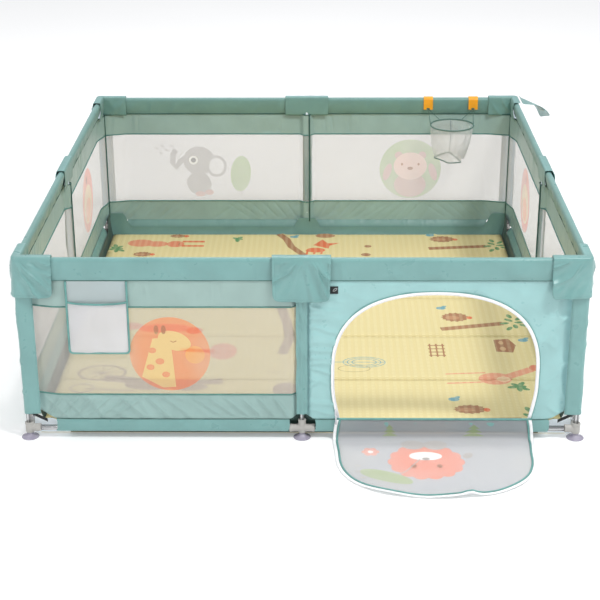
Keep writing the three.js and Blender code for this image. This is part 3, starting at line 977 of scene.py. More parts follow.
def corner_strip(k):
    """Satin strip round the outside of a corner post."""
    first = -side_span(k) / 2
    line = [(CORNER_STRIP, WALL_OUT + 0.0022), (0.032, WALL_OUT + 0.0026), (0.018, 0.0122),
            (0.008, SLEEVE)]
    line += [(-SLEEVE * math.sin(math.pi / 2 * s / 8), SLEEVE * math.cos(math.pi / 2 * s / 8))
             for s in range(9)]
    line += [(-v, -p) for p, v in line[3::-1]]
    run = [0.0]
    for a, b in zip(line, line[1:]):
        run.append(run[-1] + math.dist(a, b))
    rows = 110

    def place(i, j):
        p, v = line[i]
        z = POST_FOOT + (POST_HEAD - POST_FOOT) * j / (rows - 1)
        wrinkle = 0.0014 * ripple(run[i] * 30 + k * 4, z * 12, 11.0)
        wrinkle += 0.0028 * ridge(run[i] * 14 + k * 4, z * 10 + run[i] * 18, 12.0)
        outward = Vector((p - 0.004, v - 0.004)).normalized() if i > 2 else Vector((0, 1))
        if i > len(line) - 4:
            outward = Vector((-1, 0))
        return on_side(k, first + p + outward.x * wrinkle, v + outward.y * wrinkle, z), (run[i], z)

    points, faces, uv = grid(len(line), rows, place)
    # The strip's inner side is the pale lining, with its painted glow.
    piece = make(f"post_strip_{CORNERS[k]}", points, faces, [M_LINING_GLOW, M_SATIN], "frame", uv)
    add_modifier(piece, "SOLIDIFY", thickness=0.0006, offset=-1.0, material_offset=1)


def wall_cord(name, k, z, u0, u1, radius, material, out=0.0):
    """A cord or seam along a wall at one height."""
    path = [wall_point(k, u, z, out) for u in stations(u0, u1, 0.012)]
    return tube_along(name, path, radius, material, "frame")


def window(name, k, u0, u1, prints):
    """Netting between the two lines of piping."""
    steps = stations(u0, u1, 0.012)
    outline = [(u, WINDOW_LOW) for u in steps] + [(u, WINDOW_TOP) for u in steps[::-1]]
    piece = printed(name, outline, prints, (NET, 0.34), lambda u, z: wall_point(k, u, z, 0, 0.5),
                    M_NET, "frame", 0.011)
    return piece


def cut_foot(k):
    """Lower edge of the low band: cut away in a curve at the corner posts."""
    half = side_span(k) / 2

    def low(u):
        from_corner = half - abs(u)
        lift = 1 - smooth(from_corner, 0.020, LOW_CUT + 0.004)
        middle = 1 - smooth(abs(u), 0.012, MIDDLE_CUT + 0.004)
        return LOW_SEAM + 0.030 * lift + 0.010 * middle
    return low


def net_wall(k, part, u0, u1, prints):
    """One half of a wall: sheer band, netting window, low band and their piping."""
    tag = f"{SIDES[k]}_{part}"
    upper = wall_band(f"sheer_band_{tag}", k, u0, u1, WINDOW_TOP, BAND_SEAM, M_SHEER,
                      sheer_folds(k))
    window(f"window_{tag}", k, u0, u1, prints)
    lower = wall_band(f"low_band_{tag}", k, u0, u1, LOW_SEAM, WINDOW_LOW, M_LOW, low_folds(k),
                      lower_edge=cut_foot(k))
    wall_cord(f"piping_top_{tag}", k, WINDOW_TOP, u0, u1, PIPING, M_PIPING)
    wall_cord(f"piping_low_{tag}", k, WINDOW_LOW, u0, u1, PIPING, M_PIPING)


def seams(k):
    """Seam lines of a side, dark as thread and as painted shade of the seams' creases, and the dark piping at
    its posts.
    """
    half = side_span(k) / 2 + WALL_IN
    wall_cord(f"seam_top_{SIDES[k]}_inside", k, BAND_SEAM, -half, half, 0.0020, M_DARK_THREAD_AND_SHADE, -0.0030)
    for part, (a, b) in (("1", (-half + RAIL_JOINT, -MIDDLE_STRIP)),
                         ("2", (MIDDLE_STRIP, half - RAIL_JOINT))):
        wall_cord(f"seam_top_{SIDES[k]}_{part}", k, BAND_SEAM, a, b, 0.0011, M_DARK_THREAD_AND_SHADE, 0.0026)
        wall_cord(f"seam_low_{SIDES[k]}_{part}", k, LOW_SEAM, a, b, 0.0009, M_DARK_THREAD_AND_SHADE, 0.0024)
    for spot, u in (("first", -half), ("middle", 0.0)):
        shift = 0.0 if spot == "first" else -0.012
        path = [on_side(k, u + shift, WALL_IN - 0.0015, z) for z in stations(LOW_SEAM, BAND_SEAM, 0.02)]
        tube_along(f"piping_{spot}_{SIDES[k]}", path, 0.0034, M_DARK_THREAD_AND_SHADE, "frame")


def inner_strip(k):
    """The middle post's sleeve as it shows through the netting inside the pen, in the darker inner satin
    colour: painted shade.
    """
    wavy = stations(WINDOW_LOW, WINDOW_TOP, 0.012)
    edge = [(-0.024 - 0.003 * ripple(z * 14, k * 2, 19.0), z) for z in wavy]
    outline = [(0.012, z) for z in wavy] + edge[::-1]
    piece = printed(f"inner_strip_{SIDES[k]}", outline, [], (SATIN_INNER_SHADE, 0.30),
                    lambda u, z: on_side(k, u, wall_line(k, u) - 0.0014, z), M_NET, "frame",
                    0.006, row_step=0.012)


def post_sleeve(name, k, u, material):
    """Cloth tube round a post, behind the netting."""
    columns, rows = 24, 90
    radius = TUBE + 0.0016

    def place(i, j):
        turn = 2 * math.pi * i / (columns - 1)
        z = POST_FOOT + (POST_HEAD - POST_FOOT) * j / (rows - 1)
        r = radius + 0.0006 * ripple(math.cos(turn) * 2 + u, z * 30 + math.sin(turn), 20.0)
        return on_side(k, u + r * math.cos(turn), r * math.sin(turn), z), (turn * radius, z)

    points, faces, uv = grid(columns, rows, place)
    piece = make(name, points, faces, material, "frame", uv)


SKIRT_SHADE_SLOTS = (1, 1, 0, 1)  # material slot of each side's skirt: near black as painted shade, but the darker inner satin at the back
SKIRT_GLOW_LINING = 2  # slot of the pale lining at the front corners, with its painted glow


def skirt(k):
    """Strip from the bottom tunnel down to the mat's edge, mostly near black: painted shade in the gap and
    behind the feet. It rises behind the feet's gaps.
    """
    half = side_span(k) / 2 - SLEEVE - 0.0026
    us = stations(-half, half, 0.012)
    rows = 8

    def place(i, j):
        t = j / (rows - 1)
        u = us[i]
        at_post = 1 - smooth(abs(u), 0.040, 0.060)
        at_corner = smooth(abs(u), half - 0.100, half - 0.060) * (0.4 if in_front(k, u) else 1.5)
        head = LOW_RAIL + 0.010 + 0.044 * max(at_post, at_corner)
        v = -SLEEVE - 0.0026 - 0.013 * t * t + 0.0012 * ripple(u * 20, t * 2, 22.0 + k)
        return on_side(k, u, v, head + (0.003 - head) * t), (u, t * 0.05)

    points, faces, uv = grid(len(us), rows, place)
    tone = []
    for u in us[:-1]:
        at_end = abs(u) > half - 0.110 and in_front(k, u)
        tone += [SKIRT_GLOW_LINING if at_end else SKIRT_SHADE_SLOTS[k]] * (rows - 1)
    piece = make(f"skirt_{SIDES[k]}", points, faces, [M_INNER_SHADE, M_SKIRT_SHADE, M_LINING_GLOW], "frame",
                 uv, indices=tone)


def in_front(k, u):
    """Whether a place on a side is at the front of the pen."""
    return on_side(k, u, 0, 0).y < -POST_Y / 2


def foot_straps(k):
    """Black webbing that pulls the cover down towards the connector of a corner."""
    first = -side_span(k) / 2
    near, far = (0.010, 0.101), (0.064, 0.070)  # along the side and above the floor
    width = 0.012
    for way in (0, 1):

        def place(i, j):
            a, b = i / 10, j / 3
            p = near[0] + (far[0] - near[0]) * a
            z = near[1] + (far[1] - near[1]) * a - width * (1 - b)
            v = 0.0030 + 0.0015 * math.sin(a * 5)
            point = on_side(k, first + p, v, z) if way else on_side(k, first - v, -p, z)
            return point, (a * 0.06, b * width)

        points, faces, uv = grid(11, 4, place)
        name = f"foot_strap_{CORNERS[k]}_{way + 1}"
        strap = thicken(make(name, points, faces, M_STRAP, "frame", uv), 0.0012)


# ---- prints of the windows ----

OVER = 0.46  # cover of a print on netting
AMBER = rgb(236, 150, 84)


def spots(x, z, r, rows):
    """Ovals in units of a print's radius r: (along, up, half width, half height, colour, more),
    where more may give the tilt and the cover."""
    parts = []
    for a, b, wide, high, colour, *more in rows:
        tilt = more[0] if more else 0.0
        cover = more[1] if len(more) > 1 else OVER
        parts.append((ellipse(x + a * r, z + b * r, wide * r, high * r, tilt), colour, cover))
    return parts


def print_giraffe(x, z, r):
    """A round orange ground with a calm long-necked animal of simple shapes."""
    neck = [(x + a * r, z + b * r) for a, b in
            ((-0.72, -0.62), (-0.42, 0.42), (0.02, 0.46), (0.12, -0.90), (-0.2, -0.92))]
    mouth = [(x + a * r, z + b * r) for a, b in ((0.02, 0.36), (0.09, 0.32), (0.17, 0.36))]
    parts = spots(x, z, r, ((0, 0, 1, 1, ORANGE),))
    parts.append((neck, SAND, OVER))
    parts += spots(x, z, r, (
        (0.12, 0.36, 0.42, 0.25, SAND, -0.35), (0.62, -0.02, 0.24, 0.24, AMBER),
        (-0.44, 0.1, 0.1, 0.08, ORANGE), (-0.26, -0.2, 0.11, 0.088, ORANGE),
        (-0.5, -0.36, 0.1, 0.08, ORANGE), (-0.12, -0.56, 0.1, 0.08, ORANGE),
        (-0.32, 0.66, 0.06, 0.12, BARK), (-0.14, 0.66, 0.06, 0.12, BARK)))
    parts.append((stroke(mouth, 0.022 * r), BARK, 0.6))
    return parts


def print_bear(x, z, r):
    """A round green ground with a plain bear of round shapes."""
    return spots(x, z, r, (
        (0, 0, 1, 1, LEAF), (0, -0.54, 0.52, 0.42, ROSE),
        (-0.38, 0.46, 0.13, 0.13, ROSE), (-0.74, -0.1, 0.12, 0.3, ROSE, -0.3),
        (0.38, 0.46, 0.13, 0.13, ROSE), (0.74, -0.1, 0.12, 0.3, ROSE, 0.3),
        (0, 0.1, 0.54, 0.46, rgb(226, 186, 170)),
        (-0.27, 0.16, 0.035, 0.045, BARK, 0.0, 0.6), (0.27, 0.16, 0.035, 0.045, BARK, 0.0, 0.6),
        (0, 0.02, 0.09, 0.055, BARK, 0.0, 0.55)))


def print_elephant(x, z, r):
    """A small grey elephant of round shapes beside an oval tree."""
    trunk = [(x + 0.78 * r * s, z + 0.35 * r + h * r) for s, h in
             ((0.55, 0.1), (0.85, -0.05), (1.05, -0.28), (1.2, -0.12), (1.18, 0.2), (1.05, 0.38))]
    tree = x - 1.5 * r
    parts = spots(x, z, r, ((0.02, -0.52, 0.44, 0.42, GREY, 0.5),))
    parts.append((stroke(trunk, 0.2 * r), GREY, OVER))
    parts += spots(x, z, r, (
        (0, 0.32, 0.56, 0.52, GREY), (-0.62, 0.12, 0.36, 0.4, GREY),
        (-0.62, 0.12, 0.27, 0.31, NET, 0.0, 0.34), (-0.02, -0.92, 0.18, 0.1, ROSE),
        (-0.34, -0.86, 0.16, 0.1, ROSE), (0.2, 0.34, 0.16, 0.16, rgb(236, 234, 230), 0.0, 0.5),
        (0.2, 0.34, 0.09, 0.09, rgb(120, 116, 116), 0.0, 0.55),
        (1.15, 0.72, 0.07, 0.035, GREY, 0.4), (1.35, 0.6, 0.07, 0.035, GREY, 0.4),
        (0.95, 0.86, 0.07, 0.035, GREY, 0.4), (1.3, 0.86, 0.07, 0.035, GREY, 0.4),
        (1.5, 0.78, 0.07, 0.035, GREY, 0.4)))
    parts.append((stroke([(tree, z - 0.4 * r), (tree, z - 1.0 * r)], 0.05 * r), GREY, OVER))
    parts += spots(tree, z, r, ((0.02, -0.16, 0.36, 0.66, LEAF, 0.08),))
    return parts


def print_fruit(x, z, r):
    """An orange round with a pale inner arch and a short stalk."""
    return spots(x, z, r, (
        (0, 0, 1, 1, ORANGE), (0, -0.12, 0.72, 0.6, SAND), (0, -0.3, 0.46, 0.36, AMBER),
        (0.05, 0.66, 0.08, 0.14, BARK, 0.0, 0.55)))


def walls():
    """The four sides of the cover. The front's second half is the door wall."""
    for k in range(4):
        half = side_span(k) / 2 + WALL_IN
        prints = {
            (0, "1"): print_giraffe(-0.444, 0.318, 0.136),
            (2, "1"): print_bear(-0.478, 0.322, 0.142),
            (2, "2"): print_elephant(0.500, 0.320, 0.130),
            (1, "2"): print_fruit(0.545, 0.330, 0.140),
            (3, "1"): print_fruit(-0.545, 0.330, 0.140),
        }
        net_wall(k, "1", -half, 0.0, prints.get((k, "1"), []))
        if k:
            net_wall(k, "2", 0.0, half, prints.get((k, "2"), []))
        seams(k)
        inner_strip(k)
        skirt(k)
        foot_straps(k)
        middle_strip(k)
        corner_strip(k)
        sleeves(k)


def sleeves(k):
    """Cloth round a side's posts and rails."""
    half = side_span(k) / 2
    # The post sleeves are the pale lining, with its painted glow.
    post_sleeve(f"post_sleeve_{CORNERS[k]}", k, -half, M_LINING_GLOW)
    post_sleeve(f"post_sleeve_{SIDES[k]}", k, 0.0, M_LINING_GLOW)
    rail_sleeve(f"rail_sleeve_{SIDES[k]}_1", k, -half + RAIL_JOINT, -RAIL_JOINT)
    rail_sleeve(f"rail_sleeve_{SIDES[k]}_2", k, RAIL_JOINT, half - RAIL_JOINT)
    low_sleeve(f"low_sleeve_{SIDES[k]}_1", k, -half + LOW_CUT, -MIDDLE_CUT)
    low_sleeve(f"low_sleeve_{SIDES[k]}_2", k, MIDDLE_CUT, half - LOW_CUT)


# ---- door ----


def bezier(p0, p1, p2, p3, steps):
    """Points of a curve, without its last one."""
    out = []
    for i in range(steps):
        t = i / steps
        a, b, c, d = (1 - t) ** 3, 3 * t * (1 - t) ** 2, 3 * t * t * (1 - t), t ** 3
        out.append((a * p0[0] + b * p1[0] + c * p2[0] + d * p3[0],
                    a * p0[1] + b * p1[1] + c * p2[1] + d * p3[1]))
    return out


def door_arch(inset=0.0):
    """The opening's edge, from the left end of the sill over the top to the right end."""
    half, foot, top = DOOR_HALF - inset, DOOR_FOOT_HALF - inset, DOOR_TOP - inset
    low = (DOOR_SILL + DOOR_WIDEST) / 2
    shoulder = DOOR_WIDEST + (top - DOOR_WIDEST) * 0.7
    left = bezier((-foot, DOOR_SILL), (-half, low), (-half, low), (-half, DOOR_WIDEST), 16)
    left += bezier((-half, DOOR_WIDEST), (-half, shoulder), (-half * 0.62, top), (0, top), 28)
    right = [(-x, z) for x, z in left[::-1]]
    return [(DOOR_X + x, z) for x, z in left + [(0.0, top)] + right]


def offset_line(line, distance):
    """The line moved sideways, to the right of its direction."""
    out = []
    for i, (x, y) in enumerate(line):
        x0, y0 = line[max(0, i - 1)]
        x1, y1 = line[min(len(line) - 1, i + 1)]
        length = math.hypot(x1 - x0, y1 - y0)
        out.append((x + (y1 - y0) / length * distance, y - (x1 - x0) / length * distance))
    return out


def door_wall():
    """The satin wall with its arched opening, in a lighter copy of the satin: painted light."""
    half = side_span(0) / 2 + WALL_IN
    low_edge = cut_foot(0)
    us = stations(0.0, half, 0.012)
    outline = [(u, low_edge(u)) for u in us] + [(u, BAND_SEAM) for u in us[::-1]]
    arch = door_arch()
    lines = [(0.75, 0.30, 0.90, 0.47, 0.010, 0.003), (0.80, 0.20, 0.90, 0.26, 0.008, 0.002),
             (0.03, 0.40, 0.13, 0.36, 0.006, 0.002), (0.03, 0.24, 0.10, 0.20, 0.006, 0.002)]

    def place(u, z):
        left = 1 - smooth(u, 0.07, 0.18)
        right = smooth(u, 0.78, 0.86)
        fold = ridge(u * 6, z * 26, 13.0) * 0.0056 * left + ripple(u * 10, z * 8, 14.0) * 0.0024
        fold += ridge(u * 14 + z * 6, z * 9 - u * 8, 15.0) * 0.0060 * right + creases(u, z, lines)
        fold += ridge(u * 7, z * 9, 16.0) * 0.0022
        free = smooth(BAND_SEAM - z, 0.0, 0.02) * smooth(z - LOW_SEAM, 0.0, 0.02)
        return wall_point(0, u, z, fold * free)

    piece = printed("door_wall", outline, [], (SATIN_PAINTED_LIGHT, 1.0), place, M_PAINTED_LIGHT, "frame",
                    0.007, holes=[arch], row_step=0.005)
    door_trim(arch)


def door_trim(arch):
    """Zip tape, teeth, binding, slider and puller of the opening."""
    inner = offset_line(arch, ZIP_TAPE)
    outer = offset_line(arch, -0.002)
    ribbon("zip_tape_door", [wall_point(0, *a, 0.0022) for a in inner],
           [wall_point(0, *b, 0.0030) for b in outer], M_ZIP, "frame")
    teeth("zip_teeth_door", [wall_point(0, *a, 0.0028) for a in inner], "frame")
    edge = [wall_point(0, *p, 0.0026) for p in offset_line(arch, -0.0030)]
    tube_along("door_edge_binding", edge, 0.0016, M_BINDING, "frame")
    sill = [(DOOR_X + s * (DOOR_FOOT_HALF + 0.004), -(POST_Y + 0.0125), DOOR_SILL) for s in
            [i / 20 - 1 for i in range(41)]]
    tube_along("sill_binding", sill, 0.0042, M_BINDING, "frame", sides=12)
    slider = [wall_point(0, DOOR_X - DOOR_FOOT_HALF - 0.004, z, 0.006) for z in (0.090, 0.100, 0.112)]
    tube_along("zip_slider", slider, 0.0048, M_SLIDER, "frame", sides=10)
    pull = [wall_point(0, DOOR_X - DOOR_FOOT_HALF - 0.004, z, 0.012) for z in (0.060, 0.075, 0.098)]
    tube_along("zip_puller", pull, 0.0026, M_SLIDER, "frame", sides=8)


def ribbon(name, inner, outer, material, body, rows=4):
    """A woven tape between two lines."""
    run = 0.0
    runs = []
    for i, p in enumerate(inner):
        run += (p - inner[i - 1]).length if i else 0.0
        runs.append(run)

    def place(i, j):
        t = j / (rows - 1)
        return inner[i].lerp(outer[i], t), (runs[i], (outer[i] - inner[i]).length * t)

    points, faces, uv = grid(len(inner), rows, place)
    piece = make(name, points, faces, material, body, uv)
    thicken(piece, 0.0012)
    return piece


def teeth(name, line, body, pitch=0.0026):
    """Zip teeth: small blocks along a line."""
    points, faces = [], []
    carried = 0.0
    for a, b in zip(line, line[1:]):
        way = b - a
        length = way.length
        way.normalize()
        side = way.cross(Vector((0, -1, 0))).normalized()
        up = side.cross(way)
        at = pitch - carried
        while at < length:
            middle = a + way * at
            start = len(points)
            for x in (-1, 1):
                for y in (-1, 1):
                    for z in (-1, 1):
                        points.append(middle + way * 0.0008 * x + side * 0.0016 * y + up * 0.0011 * z)
            faces += [tuple(start + i for i in f) for f in (
                (0, 1, 3, 2), (4, 6, 7, 5), (0, 4, 5, 1), (2, 3, 7, 6), (0, 2, 6, 4), (1, 5, 7, 3))]
            at += pitch
        carried = (carried + length) % pitch
    return make(name, points, faces, M_TEETH, body, soft=False)


# The flap's flat coordinates are x and the distance s from the sill, along the cloth.

FLAP_GATHER = 0.05  # how much the loose flap draws in sideways
FLAP_FOLD = 0.014  # radius of the fold where the flap meets the floor


def flap_point(x, s, lift=0.0):
    """The flap's cloth: down from the sill, round the fold and forward over the floor."""
    x = DOOR_X + (x - DOOR_X) * (1 - FLAP_GATHER * smooth(s, 0.0, 0.20))
    arc = FLAP_FOLD * math.pi / 2
    flat_start = FLAP_HANG - FLAP_FOLD
    if s < flat_start:
        return Vector((x, FLAP_Y - lift, DOOR_SILL - s))
    if s < flat_start + arc:
        turn = (s - flat_start) / FLAP_FOLD
        y = FLAP_Y - FLAP_FOLD * (1 - math.cos(turn))
        z = FLAP_FLOOR + FLAP_FOLD * (1 - math.sin(turn))
        return Vector((x, y - lift * math.cos(turn), z + lift * math.sin(turn)))
    rest = s - flat_start - arc
    y = FLAP_Y - FLAP_FOLD - rest
    end = smooth(s, 0.30, 0.47)
    wave = 0.004 * end * (1 + math.sin(x * 26 + 0.8)) + 0.010 * bump(x - 0.545, 0.022) * end
    wave += 0.0025 * (1 + ripple(x * 7, s * 6, 17.0)) * smooth(rest, 0.0, 0.05)
    return Vector((x, y, FLAP_FLOOR + lift + wave))


def flap_prints():
    """Orange round face, leaf, flower and little trees, upside down as the flap hangs."""
    x, s = 0.415, 0.235
    parts = []
    for i in range(14):
        t = 2 * math.pi * i / 14
        parts.append((ellipse(x + 0.100 * math.cos(t), s + 0.086 * math.sin(t), 0.036, 0.032, t, 20),
                      ORANGE, 0.36))
    parts += [
        (ellipse(x, s, 0.104, 0.090), ORANGE, 0.36),
        (ellipse(x, s - 0.040, 0.058, 0.030), rgb(246, 240, 236), 0.40),
        (ellipse(x, s - 0.020, 0.014, 0.010), GREY, 0.5),
        (ellipse(x - 0.045, s + 0.030, 0.010, 0.012), BARK, 0.5),
        (ellipse(x + 0.045, s + 0.030, 0.010, 0.012), BARK, 0.5),
        (ellipse(x - 0.040, s - 0.120, 0.042, 0.034), GREY, 0.34),
        (ellipse(x + 0.040, s - 0.120, 0.042, 0.034), GREY, 0.34),
        (ellipse(0.270, 0.335, 0.098, 0.034, 0.42), LEAF, 0.44),
        (stroke([(x - 0.02, s - 0.02), (x - 0.07, s + 0.06), (x - 0.10, s + 0.085)], 0.004), GREY, 0.4),
    ]
    for i in range(6):
        t = 2 * math.pi * i / 6
        parts.append((ellipse(0.222 + 0.020 * math.cos(t), 0.165 + 0.018 * math.sin(t), 0.012, 0.011,
                              0, 16), ORANGE, 0.30))
    parts.append((ellipse(0.222, 0.165, 0.010, 0.009), rgb(246, 240, 236), 0.36))
    for tx, size in ((0.300, 0.028), (0.590, 0.040)):
        for n in range(3):
            w = size * (0.5 + 0.25 * n)
            parts.append(([(tx - w, 0.022 + 0.014 * n + 0.014), (tx, 0.020 + 0.014 * n),
                           (tx + w, 0.022 + 0.014 * n + 0.014)], LEAF, 0.42))
    for i, (a, b) in enumerate(((0.175, 0.262), (0.172, 0.300), (0.190, 0.342))):
        parts.append((ellipse(a, b, 0.011, 0.005), GREY, 0.5))
    parts.append((ellipse(0.565, 0.190, 0.016, 0.022, 0.6), GREY, 0.4))
    return parts


def door_flap():
    """The unzipped flap: it hangs from the sill and lies on the floor."""
    arch = [(x, z - DOOR_SILL) for x, z in door_arch(0.004)]
    sill = stations(arch[0][0], arch[-1][0], 0.011)
    outline = arch + [(x, 0.0) for x in sill[-2:0:-1]]
    piece = printed("door_flap_net", outline, flap_prints(), (rgb(176, 178, 182), 0.38), flap_point,
                    M_NET, None, 0.010, row_step=0.007)
    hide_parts("door_flap_hem", "door_flap")
    hinge_flap(piece)
    line = [flap_point(x, max(0.0, s), 0.0012) for x, s in offset_line(arch, 0.006)]
    hinge_flap(tube_along("flap_binding", line, 0.0034, M_BINDING, None))
    outer = offset_line(arch, -0.0088)
    tape = ribbon("zip_tape_flap", [flap_point(x, max(0.0, s), 0.001) for x, s in offset_line(arch, 0.002)],
                  [flap_point(x, max(0.0, s), 0.001) for x, s in outer], M_ZIP, None)
    hinge_flap(tape)


def hinge_flap(piece):
    """Bakes a piece's placement into its mesh."""
    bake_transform(piece)


# ---- pocket and tag ----

POCKET = (-0.781, -0.579, 0.324, 0.510)  # left, right, bottom, mouth


def pocket():
    """Netting pocket on the front left wall: its bag, its lining and its binding."""
    left, right, low, mouth = POCKET
    steps = stations(left, right, 0.010)
    outline = [(u, low) for u in steps] + [(u, mouth) for u in steps[::-1]]

    def front(u, z):
        a = (u - left) / (right - left)
        b = (z - low) / (mouth - low)
        round_ = math.sin(math.pi * min(1, max(0, a))) ** 0.6
        depth = 0.0055 + 0.0085 * round_ * math.sin(math.pi * (0.12 + 0.5 * b))
        depth += 0.0022 * ripple(u * 22, z * 12, 21.0) * round_
        sag = 0.006 * round_ * b
        return on_side(0, u, WALL_OUT + depth, z - sag)

    net = printed("pocket_front", outline, [], (rgb(240, 238, 241), 0.44), front, M_NET, "frame",
                  0.008)
    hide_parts("net_cover_front")
    back = [(u, low) for u in steps] + [(u, BAND_SEAM - 0.002) for u in steps[::-1]]
    lining = printed("pocket_back", back, [], (NET_COOL, 0.36),
                     lambda u, z: on_side(0, u, WALL_OUT + 0.0044, z), M_NET, "frame", 0.012)
    bend = 0.012
    rim = [(left, BAND_SEAM - 0.002)] + [(left, z) for z in stations(low + bend, mouth, 0.02)[::-1]]
    rim += [(left + bend * (1 - math.cos(t)), low + bend * (1 - math.sin(t)))
            for t in (0.5, 1.0, 1.4)]
    rim += [(u, low) for u in stations(left + bend, right - bend, 0.02)]
    rim += [(right - bend * (1 - math.sin(t)), low + bend * (1 - math.cos(t)))
            for t in (0.5, 1.0, 1.4)]
    rim += [(right, z) for z in stations(low + bend, mouth, 0.02)] + [(right, BAND_SEAM - 0.002)]
    path = [on_side(0, u, WALL_OUT + 0.0062, z) for u, z in rim]
    tube_along("pocket_binding", path, 0.0036, M_BINDING, "frame")
    lip = [front(u, mouth) for u in steps]
    tube_along("pocket_mouth_binding", lip, 0.0036, M_BINDING, "frame")


def tag():
    """A small plain sewn label with a simple leaf mark."""
    u0, z0, size = 0.108, 0.553, 0.026

    def place(i, j):
        return wall_point(0, u0 - size / 2 + size * i / 6, z0 - size / 2 + size * j / 6, 0.0030), (
            i / 6 * size, j / 6 * size)

    points, faces, uv = grid(7, 7, place)
    piece = thicken(make("sewn_tag", points, faces, M_TAG, "frame", uv))
    leaf = [wall_point(0, u0 + x, z0 + z, 0.0040) for x, z in ellipse(0.003, 0.002, 0.008, 0.0032, 0.7, 20)]
    tube_along("tag_mark", leaf, 0.0007, M_TAG_MARK, "frame", closed=True, sides=6)


# ---- caps ----


CAP_EDGE = 22  # the first row of a cap's outer face
CAP_INNER_ROWS = 12  # rows of the inner face and its turn over the rail, in the darker inner satin: painted shade
CAP_CLOTH = 0.0016  # thickness of a cap's lined cloth
CAP_STEP = 0.0030  # spacing of the points along a corner cap
STITCH_INSET = 4  # rows from a cap's edge to its stitches


def cap_profile(drop):
    """The cap's cross-section from its inner foot over the rail to its outer foot: (v, z)."""
    inner = [(CAP_IN + 0.0065 * (1 - t) ** 2, BAND_SEAM - 0.003 + (TOP - 0.010 - BAND_SEAM) * t)
             for t in [i / 9 for i in range(10)]]
    over = []
    for i in range(12):
        turn = math.pi * (0.10 + 0.80 * i / 11)
        across = math.cos(turn)
        reach = CAP_IN if across > 0 else -CAP_OUT
        over.append((reach * across, TOP - 0.0125 + 0.0120 * (1 - across ** 4) ** 0.25))
    fall = drop - 0.012
    outer = [(CAP_OUT + 0.0015 * t, TOP - 0.012 - fall * t) for t in [i / 48 for i in range(1, 49)]]
    return inner + over + outer


def profile_runs(profile):
    """Distance travelled along a profile at each of its points."""
    runs = [0.0]
    for a, b in zip(profile, profile[1:]):
        runs.append(runs[-1] + math.dist(a, b))
    return runs


FAN_OUT = (  # folds of a middle cap: p across, q down from the top, width, height
    (-0.02, 0.00, -0.085, 0.135, 0.010, 0.0042), (0.00, 0.00, -0.045, 0.145, 0.009, 0.0030),
    (0.02, -0.01, 0.080, 0.140, 0.009, 0.0050), (0.012, 0.03, 0.035, 0.150, 0.008, 0.0044),
    (0.055, 0.00, 0.092, 0.100, 0.007, 0.0032), (-0.06, 0.00, -0.092, 0.080, 0.008, 0.0030),
)


def middle_cap(k):
    """The cap over the middle of a side's rail."""
    profile = cap_profile(MIDDLE_CAP_DROP)
    runs = profile_runs(profile)
    columns = 79
    half = MIDDLE_CAP_HALF
    flip = -1 if SIDES[k] in ("right", "back") else 1

    def place(i, j):
        a = 2 * i / (columns - 1) - 1
        v, z = profile[j]
        q = TOP - z
        down = smooth(q, 0.01, MIDDLE_CAP_DROP) if j >= CAP_EDGE else 0.0
        width = half * (1 - 0.045 * down * (1 if a > 0 else 0.4))
        u = a * width
        if j >= CAP_EDGE:
            corner = max(0.0, abs(a) - 0.80) / 0.20
            lift = 0.022 * (1 - math.sqrt(max(0.0, 1 - corner * corner))) - 0.004 * (1 - a * a)
            z += lift * smooth(q, MIDDLE_CAP_DROP * 0.55, MIDDLE_CAP_DROP)
            fold = creases(u * flip, q, FAN_OUT) + ripple(u * 26 + k * 9, q * 16, 31.0) * 0.0030
            fold += fan(u - 0.01 * flip, q, k * 3, 0.0085)
            post = 0.004 * bump(u, 0.02) * down
            v += (fold + post) * smooth(q, 0.004, 0.03) + 0.0022 * smooth(abs(a), 0.88, 1.0)
        else:
            v -= 0.0012 * ripple(u * 40 + k, z * 30, 32.0) * smooth(q, 0.004, 0.03)
        z += 0.0008 * ripple(u * 35, v * 90, 33.0) * (1 - smooth(q, 0.0, 0.02))
        return on_side(k, u, v, z), (u, runs[j])

    points, faces, uv = grid(columns, len(profile), place)
    # The inner face takes the darker inner satin: painted shade.
    inner = [1 if j < CAP_INNER_ROWS else 0 for _ in range(columns - 1) for j in range(len(profile) - 1)]
    name = f"cap_{SIDES[k]}"
    piece = make(name, points, faces, [M_SATIN, M_INNER_SHADE], None, uv, indices=inner)
    thicken(piece, CAP_CLOTH)
    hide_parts(f"middle_cap_{SIDES[k]}")
    blend_cap(piece)
    line = [points[STITCH_INSET * len(profile) + j] for j in range(CAP_EDGE, len(profile) + 1 - STITCH_INSET)]
    line += [points[i * len(profile) + len(profile) - STITCH_INSET]
             for i in range(STITCH_INSET, columns - STITCH_INSET)]
    line += [points[(columns - 1 - STITCH_INSET) * len(profile) + j] for j in
             range(len(profile) - STITCH_INSET, CAP_EDGE, -1)]
    stitches(f"{name}_stitches", line, side_turn(k) @ Vector((0, -1, 0)), f"middle_cap_{SIDES[k]}")


def blend_cap(piece):
    """Bakes a middle cap's placement into its mesh."""
    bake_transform(piece)


